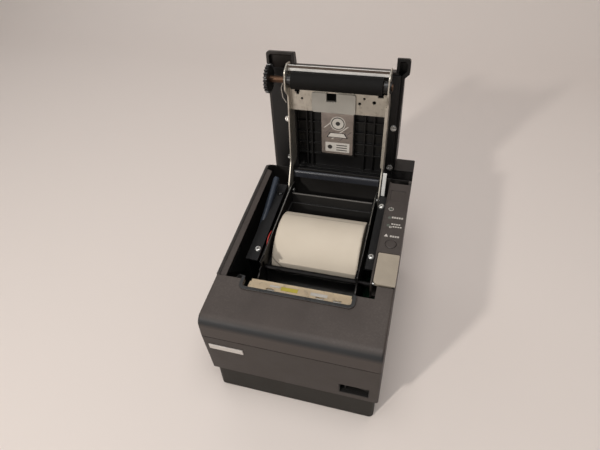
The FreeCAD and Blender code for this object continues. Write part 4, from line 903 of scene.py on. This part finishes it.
sweep_half_width = 2.2
sweep_front_y = -1.6
sweep_bend_y = 0.62
sweep_bend_radius = 0.45
sweep_bend_steps = 12
sweep_top_z = 2.4
sweep_profile = [(sweep_front_y, 0.0), (sweep_bend_y, 0.0)]
for i in range(1, sweep_bend_steps + 1):
    angle = math.pi / 2 * i / sweep_bend_steps
    sweep_profile.append((sweep_bend_y + sweep_bend_radius * math.sin(angle),
                          sweep_bend_radius - sweep_bend_radius * math.cos(angle)))
sweep_profile.append((sweep_bend_y + sweep_bend_radius, sweep_top_z))
sweep_points = [(x, y, z) for y, z in sweep_profile for x in (-sweep_half_width, sweep_half_width)]
sweep_faces = [(2 * i, 2 * i + 1, 2 * i + 3, 2 * i + 2) for i in range(len(sweep_profile) - 1)]
sweep_mesh = bpy.data.meshes.new("sweep")
sweep_mesh.from_pydata(sweep_points, [], sweep_faces)
for face in sweep_mesh.polygons:
    face.use_smooth = True
sweep_paper = bpy.data.materials.new("sweep_paper")
sweep_paper.use_nodes = True
sweep_shade = sweep_paper.node_tree.nodes["Principled BSDF"]
sweep_shade.inputs["Base Color"].default_value = (0.82, 0.742, 0.690, 1)
sweep_shade.inputs["Roughness"].default_value = 0.9
sweep_shade.inputs["Specular IOR Level"].default_value = 0.1
sweep_mesh.materials.append(sweep_paper)
sweep = bpy.data.objects.new("sweep", sweep_mesh)
scene.collection.objects.link(sweep)

# Light: a small warm lamp at the front left, which throws the shadow, and a broad soft ceiling above.
# A faint cool window stands at the left rear, and a dim even glow fills the room.

world = bpy.data.worlds.new("studio")
scene.world = world
world.use_nodes = True
glow = world.node_tree.nodes["Background"]
glow.inputs["Color"].default_value = (1.0, 0.97, 0.95, 1)
glow.inputs["Strength"].default_value = 0.15


def softbox(name, location, target, size, power, colour):
    """Square light of a size in metres and a power in watts, turned towards a target."""
    lamp = bpy.data.lights.new(name, "AREA")
    lamp.shape = "SQUARE"
    lamp.size = size
    lamp.energy = power
    lamp.color = colour
    holder = bpy.data.objects.new(name, lamp)
    holder.location = location
    holder.rotation_euler = (Vector(target) - Vector(location)).to_track_quat("-Z", "Y").to_euler()
    scene.collection.objects.link(holder)


softbox("lamp", (-0.60, -1.16, 0.80), (0.0, 0.08, 0.12), 0.08, 8.6, (1.0, 0.96, 0.91))
softbox("ceiling", (0.08, -0.36, 1.50), (0.0, -0.05, 0.0), 1.0, 11.7, (0.99, 0.98, 0.98))
softbox("window", (-0.85, 0.80, 0.95), (0.0, 0.0, 0.1), 0.6, 1.2, (0.82, 0.91, 1.0))

# Camera: held in front of the printer and above it, a little to the right, looking down into the roll bay.
# Its place, its turn and its focal length are fitted to edges of the printer; it only frames the view.

sensor_width = 36.0
picture_width = 600
focal_length = 461.6
camera_place = on_plan(76.1, -283.7, 387.6)
forward = Vector((-0.2277, 0.7149, -0.6611)).normalized()
near_up = Vector((-0.1428, 0.6471, 0.7489))
right = forward.cross(near_up).normalized()
up = right.cross(forward)
camera_turn = Matrix((right, up, -forward)).transposed().to_4x4()
camera_data = bpy.data.cameras.new("camera")
camera_data.sensor_width = sensor_width
camera_data.lens = focal_length / picture_width * sensor_width
camera = bpy.data.objects.new("camera", camera_data)
camera.matrix_world = Matrix.Translation(camera_place) @ camera_turn
scene.collection.objects.link(camera)
scene.camera = camera
scene.view_settings.view_transform = "Standard"
